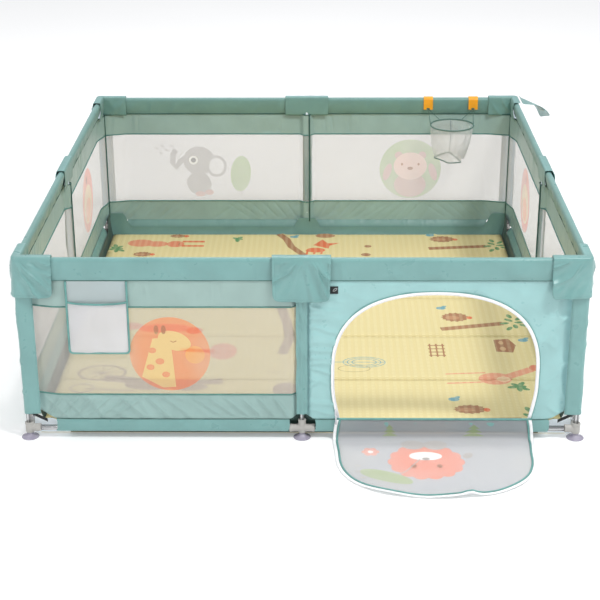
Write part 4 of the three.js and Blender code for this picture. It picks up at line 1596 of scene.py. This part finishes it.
def stitches(name, line, outward, body, pitch=0.0046, length=0.0030):
    """A row of small thread stitches that lie on the cloth."""
    points, faces = [], []
    travelled = 0.0
    for a, b in zip(line, line[1:]):
        way = b - a
        gap = way.length
        if gap < 1e-6:
            continue
        way.normalize()
        side = way.cross(outward).normalized()
        at = pitch - travelled % pitch
        while at < gap:
            middle = a + way * at + outward * 0.0011
            start = len(points)
            for x, w in ((-1, 0.4), (0, 1.0), (1, 0.4)):
                for y, z in ((-1, 0), (0, 1), (1, 0), (0, -1)):
                    points.append(middle + way * length / 2 * x + side * 0.00045 * y * w
                                  + outward * 0.0004 * z * w)
            for ring in (0, 4):
                for s in range(4):
                    faces.append((start + ring + s, start + ring + (s + 1) % 4,
                                  start + ring + 4 + (s + 1) % 4, start + ring + 4 + s))
            faces.append(tuple(start + i for i in (3, 2, 1, 0)))
            faces.append(tuple(start + i for i in (8, 9, 10, 11)))
            at += pitch
        travelled += gap
    return make(name, points, faces, M_STITCH, body)


def fan(p, q, seed, height):
    """Creases that spread from the middle of a cap's top edge."""
    reach = math.hypot(p, q + 0.02)
    turn = math.atan2(p, q + 0.02)
    return ridge(turn * 3.2 + seed, reach * 7, 34.0 + seed) * height * smooth(reach, 0.02, 0.08)


CORNER_ROUND = 0.002  # radius inside a corner cap's bend


def corner_place(k, t, v, z):
    """A point of a corner cap: t is the signed run from the corner, negative along the side
    before; v is outside the tube axes."""
    first = -side_span(k) / 2
    bend = max(CORNER_ROUND, -v)
    radius = max(0.0, bend + v)
    quarter = (CORNER_ROUND + CAP_OUT) * math.pi / 4
    if abs(t) > quarter:
        p = bend + (abs(t) - quarter) / (CORNER_CAP - quarter) * (CORNER_CAP - bend)
        return on_side(k, first + p, v, z) if t > 0 else on_side(k, first - v, -p, z)
    turn = math.pi / 4 - t / quarter * math.pi / 4
    return on_side(k, first + bend - radius * math.sin(turn), -bend + radius * math.cos(turn), z)


OPEN_EDGE = 0.014  # how far the back right cap still reaches round its corner
CORNER_FOLDS = (  # p along from the corner, q down from the top
    (0.006, 0.010, 0.105, 0.130, 0.008, 0.0050), (0.010, 0.045, 0.070, 0.140, 0.007, 0.0036),
    (0.050, 0.005, 0.112, 0.085, 0.009, -0.0034), (0.002, 0.080, 0.035, 0.138, 0.006, 0.0028),
    (0.030, 0.015, 0.113, 0.112, 0.006, 0.0026),
)


def corner_cap(k):
    """The cap over the corner that side k starts at. The back right one lacks its loose flap."""
    profile = cap_profile(CORNER_CAP_DROP)
    runs = profile_runs(profile)
    is_open = CORNERS[k] == "back_right"
    ts = stations(-CORNER_CAP, CORNER_CAP, CAP_STEP)
    name = f"cap_{CORNERS[k]}"
    count = len(profile)

    def place(i, j):
        t = ts[i]
        v, z = profile[j]
        q = TOP - z
        far = abs(t) / CORNER_CAP
        if j >= CAP_EDGE:
            corner = max(0.0, far - 0.82) / 0.18
            lift = 0.020 * (1 - math.sqrt(max(0.0, 1 - corner * corner)))
            z += lift * smooth(q, CORNER_CAP_DROP * 0.55, CORNER_CAP_DROP)
            fold = creases(abs(t), q, CORNER_FOLDS) * (1 if t > 0 else 0.7)
            fold += ripple(t * 24 + k * 13, q * 16, 35.0) * 0.0032
            fold += fan(abs(t) - 0.004, q, k * 5 + (1 if t > 0 else 2), 0.0090)
            v += fold * smooth(q, 0.004, 0.03) * smooth(abs(t), 0.0, 0.03)
            v += 0.0022 * smooth(q, 0.05, 0.14)
            if CORNERS[k] == "front_right" and t < 0:
                v += 0.016 * smooth(far, 0.55, 1.0) * smooth(q, 0.05, 0.12)
        else:
            fold = ripple(t * 34 + k * 3, z * 20, 36.0) * 0.0034
            fold += ridge(t * 20 + q * 14 * (1 if t > 0 else -1), q * 5 + k, 37.0) * 0.0040
            v -= max(0.0, fold) * smooth(q, 0.004, 0.03) * smooth(abs(t), 0.0, 0.03)
        return corner_place(k, t, v, z), (t, runs[j])

    points, faces, uv = grid(len(ts), count, place)
    if is_open:
        faces = [f for f in faces if not (ts[min(f) // count] < -OPEN_EDGE
                                          and min(f) % count >= CAP_EDGE - 2)]
    # The inner face takes the darker inner satin: painted shade.
    inner = [1 if min(f) % count < CAP_INNER_ROWS else 0 for f in faces]
    piece = make(name, points, faces, [M_SATIN, M_INNER_SHADE], f"corner_cap_{CORNERS[k]}",
                 uv, indices=inner)
    drop_loose(piece)
    thicken(piece, CAP_CLOTH)
    flat = 2 * CORNER_CAP * runs[-1]
    if is_open:
        flat -= (CORNER_CAP - OPEN_EDGE) * (runs[-1] - runs[CAP_EDGE - 2])
    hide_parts(f"corner_cap_{CORNERS[k]}")
    rows = count - STITCH_INSET
    line = [points[i * count + rows] for i in range(STITCH_INSET, len(ts) - STITCH_INSET)
            if not is_open or ts[i] > 0.0]
    halves = [line] if is_open else [line[:len(line) // 2], line[len(line) // 2:]]
    for number, part in enumerate(halves, 1):
        out = side_turn(k) @ (Vector((0, -1, 0)) if is_open or number == 2 else Vector((-1, 0, 0)))
        stitches(f"{name}_stitches_{number}", part, out, f"corner_cap_{CORNERS[k]}")


def drop_loose(piece):
    """Removes points that belong to no face."""
    mesh = bmesh.new()
    mesh.from_mesh(piece.data)
    loose = [v for v in mesh.verts if not v.link_faces]
    bmesh.ops.delete(mesh, geom=loose, context="VERTS")
    mesh.to_mesh(piece.data)
    mesh.free()


OPEN_FLAP_LENGTH = 0.139
OPEN_FLAP_SLOPE = math.radians(57)  # from hanging straight down
OPEN_FLAP_TWIST = math.radians(11)
PATCH = (0.060, 0.050)  # hook-and-loop patch, along and down the flap


def open_flap():
    """The unfastened flap of the back right cap, with its hook-and-loop patch underneath."""
    low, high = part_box("corner_flap_back_right")
    hinge_x, hinge_z = low[0] + 0.0015, TOP - 0.003
    y0, y1 = low[1] + 0.002, high[1] - 0.002
    length = OPEN_FLAP_LENGTH
    columns, rows = 34, 40

    def at(y, s, out=0.0):
        bend = math.sin(math.pi * min(1.0, (s / length) ** 1.35))
        curl = 0.018 * bend + 0.005 * ripple(y * 14, s * 16, 41.0)
        twist = OPEN_FLAP_SLOPE - OPEN_FLAP_TWIST * (2 * (y - y0) / (y1 - y0) - 1)
        along = Vector((math.sin(twist), 0, -math.cos(twist)))
        normal = Vector((math.cos(twist), 0, math.sin(twist)))
        return Vector((hinge_x, y, hinge_z)) + along * s + normal * (curl * smooth(s, 0, 0.03) + out)

    def place(i, j):
        a = i / (columns - 1)
        s = length * j / (rows - 1)
        corner = max(0.0, abs(2 * a - 1) - 0.8) / 0.2
        s *= 1 - 0.12 * (1 - math.sqrt(max(0.0, 1 - corner * corner))) * smooth(j / rows, 0.5, 1)
        return at(y0 + (y1 - y0) * a, s), (a * (y1 - y0), s)

    points, faces, uv = grid(columns, rows, place)
    piece = thicken(make("cap_back_right_open_flap", points, faces, M_SATIN, "corner_flap", uv),
                    CAP_CLOTH)
    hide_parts("corner_flap_back_right")

    def patch(i, j):
        y = y0 + 0.030 + PATCH[0] * i / 12
        s = 0.062 + PATCH[1] * j / 10
        return at(y, s, -0.0022), (i / 12 * PATCH[0], s)

    points, faces, uv = grid(13, 11, patch)
    pad = thicken(make("hook_loop_patch", points, faces, M_PATCH, "corner_flap", uv), 0.0018)


# ---- mat ----


RIBS_SHOW = 0.8  # how clearly the pressed ribs, with their painted highlight, show through a print
TRUNKS = ((0.544, -0.132, 0.798, -0.072), (0.531, -0.920, 0.770, -0.915, 7), (0.556, 0.778, 0.821, 0.808),
          (-0.700, 0.420, -0.460, 0.440), (0.300, 0.330, 0.540, 0.310))
NUTS = ((0.610, -0.011, 0.058, 0.046), (0.595, -0.835, 0.060, 0.036), (0.626, 0.900, 0.060, 0.042),
        (-0.602, 0.940, 0.040, 0.022), (-0.743, 0.703, 0.045, 0.030), (-0.200, 0.400, 0.050, 0.036))
BIRDS = ((0.56, 0.082), (0.858, -0.238), (0.544, -0.756), (-0.06, 0.930), (0.573, 0.952),
         (-0.30, 0.22), (0.10, 0.52))
SPIKES = 30  # points round a nut's outline


class Motifs:
    """The mat's prints in mat coordinates, in the order in which they lie over each other."""

    def __init__(self):
        self.parts = []

    def shape(self, outline, colour):
        self.parts.append((outline, colour, RIBS_SHOW))

    def blob(self, x, y, rx, ry, colour, turn=0.0):
        self.shape(ellipse(x, y, rx, ry, turn, 22), colour)

    def line(self, points, width, colour):
        self.shape(stroke(points, width), colour)

    def ring(self, x, y, rx, ry, width, colour):
        outline = ellipse(x, y, rx, ry, 0, 36)
        self.line(outline + outline[:1], width, colour)

    def leaves(self, x, y, count, spread):
        for i in range(count):
            turn = 2.4 * i
            reach = spread * (0.35 + 0.65 * (i / count))
            self.blob(x + reach * math.cos(turn), y + 1.3 * reach * math.sin(turn), 0.020, 0.010, GREEN,
                      turn)

    def trunk(self, x0, y0, x1, y1, count=9):
        self.line([(x0, y0), (x1, y1)], 0.034, BARK)
        self.leaves(x1 + 0.045, y1 + 0.01, count, 0.062)

    def nut(self, x, y, rx, ry):
        spikes = [(x + rx * (1 if i % 2 else 0.84) * math.cos(2 * math.pi * i / SPIKES),
                   y + ry * (1 if i % 2 else 0.84) * math.sin(2 * math.pi * i / SPIKES))
                  for i in range(SPIKES)]
        self.shape(spikes, BARK)
        self.blob(x - 0.2 * rx, y - 0.1 * ry, 0.5 * rx, 0.4 * ry, rgb(186, 132, 98))
        self.blob(x + rx, y - 0.1 * ry, 0.012, 0.014, FOX)

    def bird(self, x, y):
        self.blob(x, y, 0.020, 0.015, SKY)
        self.blob(x + 0.012, y + 0.014, 0.014, 0.008, SKY, 0.7)


def print_yard(motifs):
    """Fence, hut and pond on the right of the mat."""
    for x in (0.488, 0.513, 0.538):
        motifs.line([(x, -0.275), (x, -0.393)], 0.006, BARK)
    for y in (-0.290, -0.320, -0.350, -0.380):
        motifs.line([(0.481, y), (0.545, y)], 0.008, BARK)
    motifs.shape([(0.742, -0.345), (0.742, -0.235), (0.800, -0.225), (0.824, -0.285),
                   (0.806, -0.352)], BARK)
    motifs.blob(0.768, -0.262, 0.010, 0.016, rgb(206, 164, 122))
    motifs.blob(0.770, -0.318, 0.012, 0.018, rgb(206, 164, 122))
    for share in (1.0, 0.8, 0.58):
        motifs.ring(0.229, -0.443, 0.080 * share, 0.046 * share, 0.0035, SKY)
    motifs.line([(0.110, -0.443), (0.309, -0.443)], 0.004, SKY)
    motifs.ring(0.190, -0.500, 0.060, 0.028, 0.0035, rgb(176, 160, 112))


def print_long_animal(motifs):
    """A lying animal with long legs, on the right near the door."""
    for y in (-0.545, -0.625):
        motifs.line([(0.530, y), (0.680, y + 0.012)], 0.009, PINK)
    motifs.blob(0.712, -0.585, 0.062, 0.050, PINK)
    motifs.line([(0.750, -0.575), (0.810, -0.535), (0.855, -0.505)], 0.040, PINK)
    motifs.blob(0.872, -0.492, 0.024, 0.026, rgb(214, 118, 92))
    motifs.blob(0.742, -0.590, 0.026, 0.022, rgb(240, 206, 170))
    motifs.leaves(0.790, -0.650, 6, 0.028)


def print_back_row(motifs):
    """Rabbit, crooked tree, fox and mushrooms along the back of the mat."""
    motifs.blob(-0.765, 0.845, 0.062, 0.046, rgb(226, 140, 108))
    motifs.blob(-0.690, 0.835, 0.050, 0.036, rgb(226, 140, 108))
    motifs.blob(-0.605, 0.835, 0.040, 0.040, rgb(222, 124, 92))
    for y in (0.868, 0.812):
        motifs.line([(-0.575, y), (-0.520, y), (-0.472, y)], 0.020, FOX)
    for y in (0.846, 0.826):
        motifs.blob(-0.588, y, 0.004, 0.005, BARK)
    motifs.leaves(-0.870, 0.770, 7, 0.034)
    motifs.leaves(-0.323, 0.898, 4, 0.018)
    motifs.line([(-0.130, 0.965), (-0.095, 0.900), (-0.070, 0.800), (-0.010, 0.690)], 0.034, BARK)
    motifs.blob(0.040, 0.756, 0.044, 0.030, FOX)
    for x in (0.006, 0.040, 0.072):
        motifs.line([(x, 0.765), (x - 0.006, 0.705)], 0.010, FOX)
    motifs.shape([(0.030, 0.820), (0.072, 0.895), (0.096, 0.845), (0.150, 0.850), (0.104, 0.812),
                   (0.100, 0.775)], FOX)
    motifs.blob(0.085, 0.945, 0.046, 0.026, rgb(176, 120, 86))
    motifs.blob(0.280, 0.807, 0.016, 0.016, BARK)
    motifs.blob(0.268, 0.700, 0.022, 0.020, BARK)


def print_left_part(motifs):
    """Wheels, a lying animal, pink shapes and a bent trunk on the left of the mat."""
    motifs.ring(-0.756, -0.540, 0.088, 0.064, 0.011, MOOSE)
    for i in range(6):
        turn = math.pi * i / 6
        motifs.line([(-0.756 - 0.086 * math.cos(turn), -0.540 - 0.062 * math.sin(turn)),
              (-0.756 + 0.086 * math.cos(turn), -0.540 + 0.062 * math.sin(turn))], 0.0045, MOOSE)
    motifs.ring(-0.812, -0.672, 0.042, 0.034, 0.009, MOOSE)
    motifs.line([(-0.800, -0.675), (-0.620, -0.690)], 0.009, MOOSE)
    motifs.line([(-0.745, -0.585), (-0.640, -0.605), (-0.520, -0.620), (-0.300, -0.610)], 0.052, MOOSE)
    motifs.blob(-0.560, -0.640, 0.100, 0.046, MOOSE)
    motifs.blob(-0.420, -0.660, 0.070, 0.030, MOOSE)
    motifs.blob(-0.314, -0.346, 0.055, 0.075, PINK)
    motifs.line([(-0.480, -0.330), (-0.350, -0.345)], 0.030, FOX)
    motifs.blob(-0.560, -0.126, 0.110, 0.044, PINK)
    motifs.blob(-0.700, -0.105, 0.050, 0.036, PINK)
    motifs.blob(-0.440, -0.150, 0.034, 0.034, FOX)
    motifs.line([(-0.100, 0.091), (-0.070, -0.080), (-0.058, -0.220), (-0.085, -0.372)], 0.040, MOOSE)
    motifs.blob(-0.063, -0.677, 0.050, 0.056, MOOSE)
    for i in range(4):
        motifs.line([(-0.135 + 0.020 * i, -0.545), (-0.128 + 0.020 * i, -0.520)], 0.004, MOOSE)


def mat_prints():
    """Plain trees, nuts, huts, small birds and simple animals."""
    motifs = Motifs()
    for trunk in TRUNKS:
        motifs.trunk(*trunk)
    for nut in NUTS:
        motifs.nut(*nut)
    for bird in BIRDS:
        motifs.bird(*bird)
    print_yard(motifs)
    print_long_animal(motifs)
    print_back_row(motifs)
    print_left_part(motifs)
    return motifs.parts


def mat_panel(index):
    """One foam panel of the folding mat, with its part of the prints."""
    depth = 2 * (POST_Y - 0.032)
    step = depth / MAT_PANELS
    y0 = -depth / 2 + index * step
    y1 = y0 + step - 0.0005
    edge = 0.007
    outline = [(x, y0) for x in stations(-MAT_HALF, MAT_HALF, 0.03)]
    outline += [(MAT_HALF, y) for y in stations(y0, y1, 0.03)[1:-1]]
    outline += [(x, y1) for x in stations(MAT_HALF, -MAT_HALF, -0.03)]
    outline += [(-MAT_HALF, y) for y in stations(y1, y0, -0.03)[1:-1]]

    def place(x, y):
        near = min(x + MAT_HALF, MAT_HALF - x, y - y0, y1 - y)
        fall = max(0.0, edge - near)
        z = MAT_THICK - (edge - math.sqrt(max(0.0, edge * edge - fall * fall)))
        z -= 0.0028 * bump(x, 0.005)
        swell = smooth(near, 0.0, 0.05)
        z += 0.0012 * ripple(x * 3, y * 6, 51.0) * swell - 0.0012 * swell
        return (x, y, z)

    flat, faces, numbers, shown = cut_cloth(outline, MAT_MOTIFS, 0.024, (), 0.020)
    points = [place(p.x, p.y) for p in flat]
    piece = make(f"mat_{index + 1}_foam", points, faces, M_MAT, None)
    paint(piece, numbers, shown, (MAT_YELLOW, 1.0))
    close_below(piece)
    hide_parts(f"mat_panel_{index + 1}")
    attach(piece, "frame" if index == 0 else f"mat_{index + 1}")


def close_below(piece):
    """Adds the mat's sides and underside to its top surface."""
    mesh = bmesh.new()
    mesh.from_mesh(piece.data)
    rim = [e for e in mesh.edges if e.is_boundary]
    made = bmesh.ops.extrude_edge_only(mesh, edges=rim)
    low = [v for v in made["geom"] if isinstance(v, bmesh.types.BMVert)]
    for v in low:
        v.co.z = 0.0
    rest = [e for e in mesh.edges if e.is_boundary]
    bmesh.ops.holes_fill(mesh, edges=rest, sides=0)
    bmesh.ops.recalc_face_normals(mesh, faces=mesh.faces)
    layer = mesh.loops.layers.float_color["print"]
    for face in mesh.faces:
        if all(v.co.z < 0.001 for v in face.verts) or abs(face.normal.z) < 0.2:
            face.smooth = False
            for loop in face.loops:
                loop[layer] = (*MAT_YELLOW, 0.0)
    mesh.to_mesh(piece.data)
    mesh.free()


# ---- hoop ----


def circle(middle, radius, count):
    """Points of a level circle."""
    return [middle + radius * Vector((math.cos(t), math.sin(t), 0)) for t in
            [2 * math.pi * i / count for i in range(count)]]


BASE_WIRE = (  # corners of the bent wire at the net's foot, from its middle
    (-0.080, 0.006, 0.000), (-0.005, 0.058, 0.012), (0.047, -0.044, -0.008),
    (-0.016, -0.052, -0.009), (-0.038, -0.030, -0.004),
)
NET_DYE = rgb(226, 228, 228)


def hoop():
    """The ring, its net with a bent wire at the foot, the cords and the clips."""
    middle = Vector((HOOP_X, HOOP_Y, HOOP_Z))
    ring = circle(middle, HOOP_RING, 72)
    rim = tube_along("hoop_ring", ring, 0.0034, M_WIRE, "hoop", closed=True, sides=12)
    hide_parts("hoop_net")
    base = [Vector(p) for p in BASE_WIRE]
    foot = middle + Vector((0, 0, HOOP_FOOT - HOOP_Z + 0.012))
    wire = []
    for a, b in zip(base, base[1:] + base[:1]):
        wire += [foot + a.lerp(b, i / 8) for i in range(8)]
    wire = rounded(wire, 2)
    tube_along("hoop_base_wire", wire, 0.0026, M_WIRE, "hoop", closed=True)
    back = Vector((0, HOOP_RING, 0))
    path = [(middle + back).lerp(foot + base[1], t) + Vector((0.006 * math.sin(3 * t), 0, 0))
            for t in [i / 12 for i in range(13)]]
    tube_along("hoop_seam_wire", path, 0.0020, M_GREY_WIRE, "hoop")
    hoop_net(middle, foot, wire)
    hoop_foot(foot, wire)
    hoop_cords(middle)
    clip("hoop_clip_left", HOOP_X - CLIP_OFFSET)
    clip("hoop_clip_right", HOOP_X + CLIP_OFFSET)


def hoop_net(middle, foot, wire):
    """The net's side, from the ring down to the bent wire."""
    columns, rows = 72, 20

    def place(i, j):
        t = 2 * math.pi * i / columns
        s = j / (rows - 1)
        top = middle + HOOP_RING * Vector((math.cos(t), math.sin(t), 0))
        low = foot + 0.060 * Vector((math.cos(t), math.sin(t), 0))
        for w in wire:
            flat = (w - foot).normalized()
            if abs(math.atan2(flat.y, flat.x) - math.atan2(math.sin(t), math.cos(t))) < 0.14:
                low = w
        point = top.lerp(low, s)
        out = Vector((math.cos(t), math.sin(t), 0))
        belly = 0.007 * math.sin(math.pi * s)
        belly += 0.0016 * ripple(math.cos(t) * 4, s * 5 + math.sin(t) * 4, 61.0)
        return point + out * belly, (t * HOOP_RING, s * 0.17)

    points, faces, uv = grid(columns, rows, place, closed=True)
    net = make("hoop_net_side", points, faces, M_HOOP_NET, "hoop", uv)
    paint(net, [-1] * len(faces), [], (NET_DYE, 0.20))


def hoop_foot(foot, wire):
    """The net's bottom, inside the bent wire."""
    centre = foot + Vector((0, 0, 0.004))
    disc = [*wire, centre]
    count = len(wire)
    faces = [(i, (i + 1) % count, count) for i in range(count)]
    bottom = make("hoop_net_foot", disc, faces, M_HOOP_NET, "hoop",
                  [(p.x, p.y) for p in disc])
    paint(bottom, [-1] * count, [], (NET_DYE, 0.16))
    area = sum((Vector(disc[a]) - centre).cross(Vector(disc[b]) - centre).length / 2
               for a, b, _ in faces)


def hoop_cords(middle):
    """Two cords from each clip: one to the side of the ring, one nearer its back."""
    z = TOP_RAIL - 0.036
    for side in (-1, 1):
        for number, turn in enumerate((0.0, math.pi / 3)):
            hook = Vector((HOOP_X + side * CLIP_OFFSET, POST_Y - 0.0158, z))
            end = middle + HOOP_RING * Vector((side * math.cos(turn), math.sin(turn), 0))
            sway = Vector((0, -0.001, 0))
            path = [hook.lerp(end, t) + sway * math.sin(math.pi * t) for t in [i / 8 for i in range(9)]]
            tube_along(f"hoop_cord_{'left' if side < 0 else 'right'}_{number + 1}", path, 0.0013,
                       M_CORD, "hoop", sides=6)


def rounded(path, passes):
    """Softens the corners of a closed path."""
    for _ in range(passes):
        count = len(path)
        path = [(path[i - 1] + path[i] * 2 + path[(i + 1) % count]) / 4 for i in range(count)]
    return path


def clip(node, x):
    """An orange spring clip over the rail, notched at its inner foot."""
    radius = SLEEVE + 0.001 + 0.00175
    line = [(POST_Y + radius, TOP_RAIL - 0.024 + 0.003 * i) for i in range(8)]
    line += [(POST_Y + radius * math.cos(math.pi * i / 16), TOP_RAIL + radius * math.sin(math.pi * i / 16))
             for i in range(17)]
    line += [(POST_Y - radius, TOP_RAIL - 0.004 * i) for i in range(1, 11)]
    columns = 13

    def place(i, j):
        y, z = line[j]
        return Vector((x - CLIP_WIDTH / 2 + CLIP_WIDTH * i / (columns - 1), y, z)), (i * 0.0035, j * 0.004)

    points, faces, uv = grid(columns, len(line), place)
    kept = []
    for f in faces:
        middle = sum((points[i] for i in f), Vector()) / 4
        in_notch = abs(middle.x - x) < 0.0070 and middle.z < TOP_RAIL - 0.032 and middle.y < POST_Y
        if not in_notch:
            kept.append(f)
    piece = make(f"{node}_body", points, kept, M_CLIP, "hoop_clips", uv)
    drop_loose(piece)
    add_modifier(piece, "SOLIDIFY", thickness=0.0034, offset=0.0)
    add_modifier(piece, "BEVEL", width=0.0008, segments=2, limit_method="ANGLE")
    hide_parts(node)


# ---- studio ----


SKY_LOW = (0.50, 0.515, 0.53, 1.0)
SKY_HIGH = (1.20, 1.21, 1.23, 1.0)
SKY_STRENGTH = 0.66
FLOOR_REACH = 40
LIGHTS = (  # name, place, size, power
    ("key", (2.6, -2.8, 5.2), 0.9, 180.0),
    ("fill", (-4.2, -4.6, 2.6), 1.4, 50.0),
    ("back", (-0.4, 3.2, 5.0), 2.4, 90.0),
)
LIT_POINT = Vector((0, 0, 0.3))


def studio_floor():
    """A pale plain floor, faintly lit from itself so that it stays near white."""
    n = Nodes("studio_floor")
    tone = n.noise(n.coordinates("Object"), 0.8, 2.0)
    n.finish(n.mix(tone, (0.90, 0.90, 0.90), (0.93, 0.93, 0.93)), None, None, Roughness=0.9,
             Specular_IOR_Level=0.1, Emission_Color=(1.0, 1.0, 1.0, 1.0), Emission_Strength=0.15)
    r = FLOOR_REACH
    floor = make("floor", [(-r, -r, 0), (r, -r, 0), (r, r, 0), (-r, r, 0)], [(0, 1, 2, 3)], n.material, None)
    floor.location.z = -0.0004
    floor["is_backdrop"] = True


def studio_sky():
    """Soft light from all round, brighter from above."""
    world = bpy.data.worlds.new("studio")
    bpy.context.scene.world = world
    world.use_nodes = True
    sky = world.node_tree
    background = sky.nodes["Background"]
    way = sky.nodes.new("ShaderNodeTexCoord")
    split = sky.nodes.new("ShaderNodeSeparateXYZ")
    ramp = sky.nodes.new("ShaderNodeMapRange")
    shade = sky.nodes.new("ShaderNodeMix")
    shade.data_type = "RGBA"
    shade.inputs[6].default_value = SKY_LOW
    shade.inputs[7].default_value = SKY_HIGH
    ramp.inputs["From Min"].default_value = 0.05
    ramp.inputs["From Max"].default_value = 0.70
    sky.links.new(way.outputs["Generated"], split.inputs[0])
    sky.links.new(split.outputs["Z"], ramp.inputs["Value"])
    sky.links.new(ramp.outputs["Result"], shade.inputs[0])
    sky.links.new(shade.outputs[2], background.inputs["Color"])
    background.inputs["Strength"].default_value = SKY_STRENGTH


def studio_lights():
    """Three soft lamps that point at the pen."""
    for name, at, size, power in LIGHTS:
        lamp = bpy.data.lights.new(name, "AREA")
        lamp.size = size
        lamp.energy = power
        holder = bpy.data.objects.new(name, lamp)
        holder.location = at
        holder.rotation_euler = (LIT_POINT - Vector(at)).to_track_quat("-Z", "Y").to_euler()
        bpy.context.collection.objects.link(holder)


CAMERA_AT = (0.0622, -5.5273, 2.4058)
CAMERA_PITCH = 0.3968
CAMERA_YAW = -0.0149
CAMERA_ROLL = -0.0047
CAMERA_LENS = 88.5


def camera():
    """The view: a level camera looking a little down on the front."""
    pitch, yaw, roll = CAMERA_PITCH, CAMERA_YAW, CAMERA_ROLL
    ahead = Vector((math.sin(yaw) * math.cos(pitch), math.cos(yaw) * math.cos(pitch), -math.sin(pitch)))
    right = Vector((math.cos(yaw), -math.sin(yaw), 0))
    up = right.cross(ahead)
    x = right * math.cos(roll) + up * math.sin(roll)
    y = up * math.cos(roll) - right * math.sin(roll)
    turn = Matrix((x, y, -ahead)).transposed().to_4x4()
    eye = bpy.data.cameras.new("camera")
    eye.lens = CAMERA_LENS
    eye.sensor_width = 36
    eye.clip_end = 100
    holder = bpy.data.objects.new("camera", eye)
    holder.matrix_world = Matrix.Translation(CAMERA_AT) @ turn
    bpy.context.collection.objects.link(holder)
    bpy.context.scene.camera = holder


# ---- the whole ----

MAT_MOTIFS = mat_prints()

for number in range(4):
    frame_side(number)
dress_rails()
walls()
door_wall()
door_flap()
pocket()
tag()
for number in range(4):
    middle_cap(number)
    corner_cap(number)
open_flap()
for number in range(MAT_PANELS):
    mat_panel(number)
hoop()
for side in SIDES[1:]:
    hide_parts(f"net_cover_{side}")
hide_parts("door_cover_front")
camera()
studio_floor()
studio_sky()
studio_lights()
bpy.context.scene.view_settings.view_transform = "Standard"


def plain(box):
    """A box as plain lists of numbers."""
    return [[float(c) for c in corner] for corner in box]


{"cad": plain(cad_box), "visual": plain(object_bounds())}
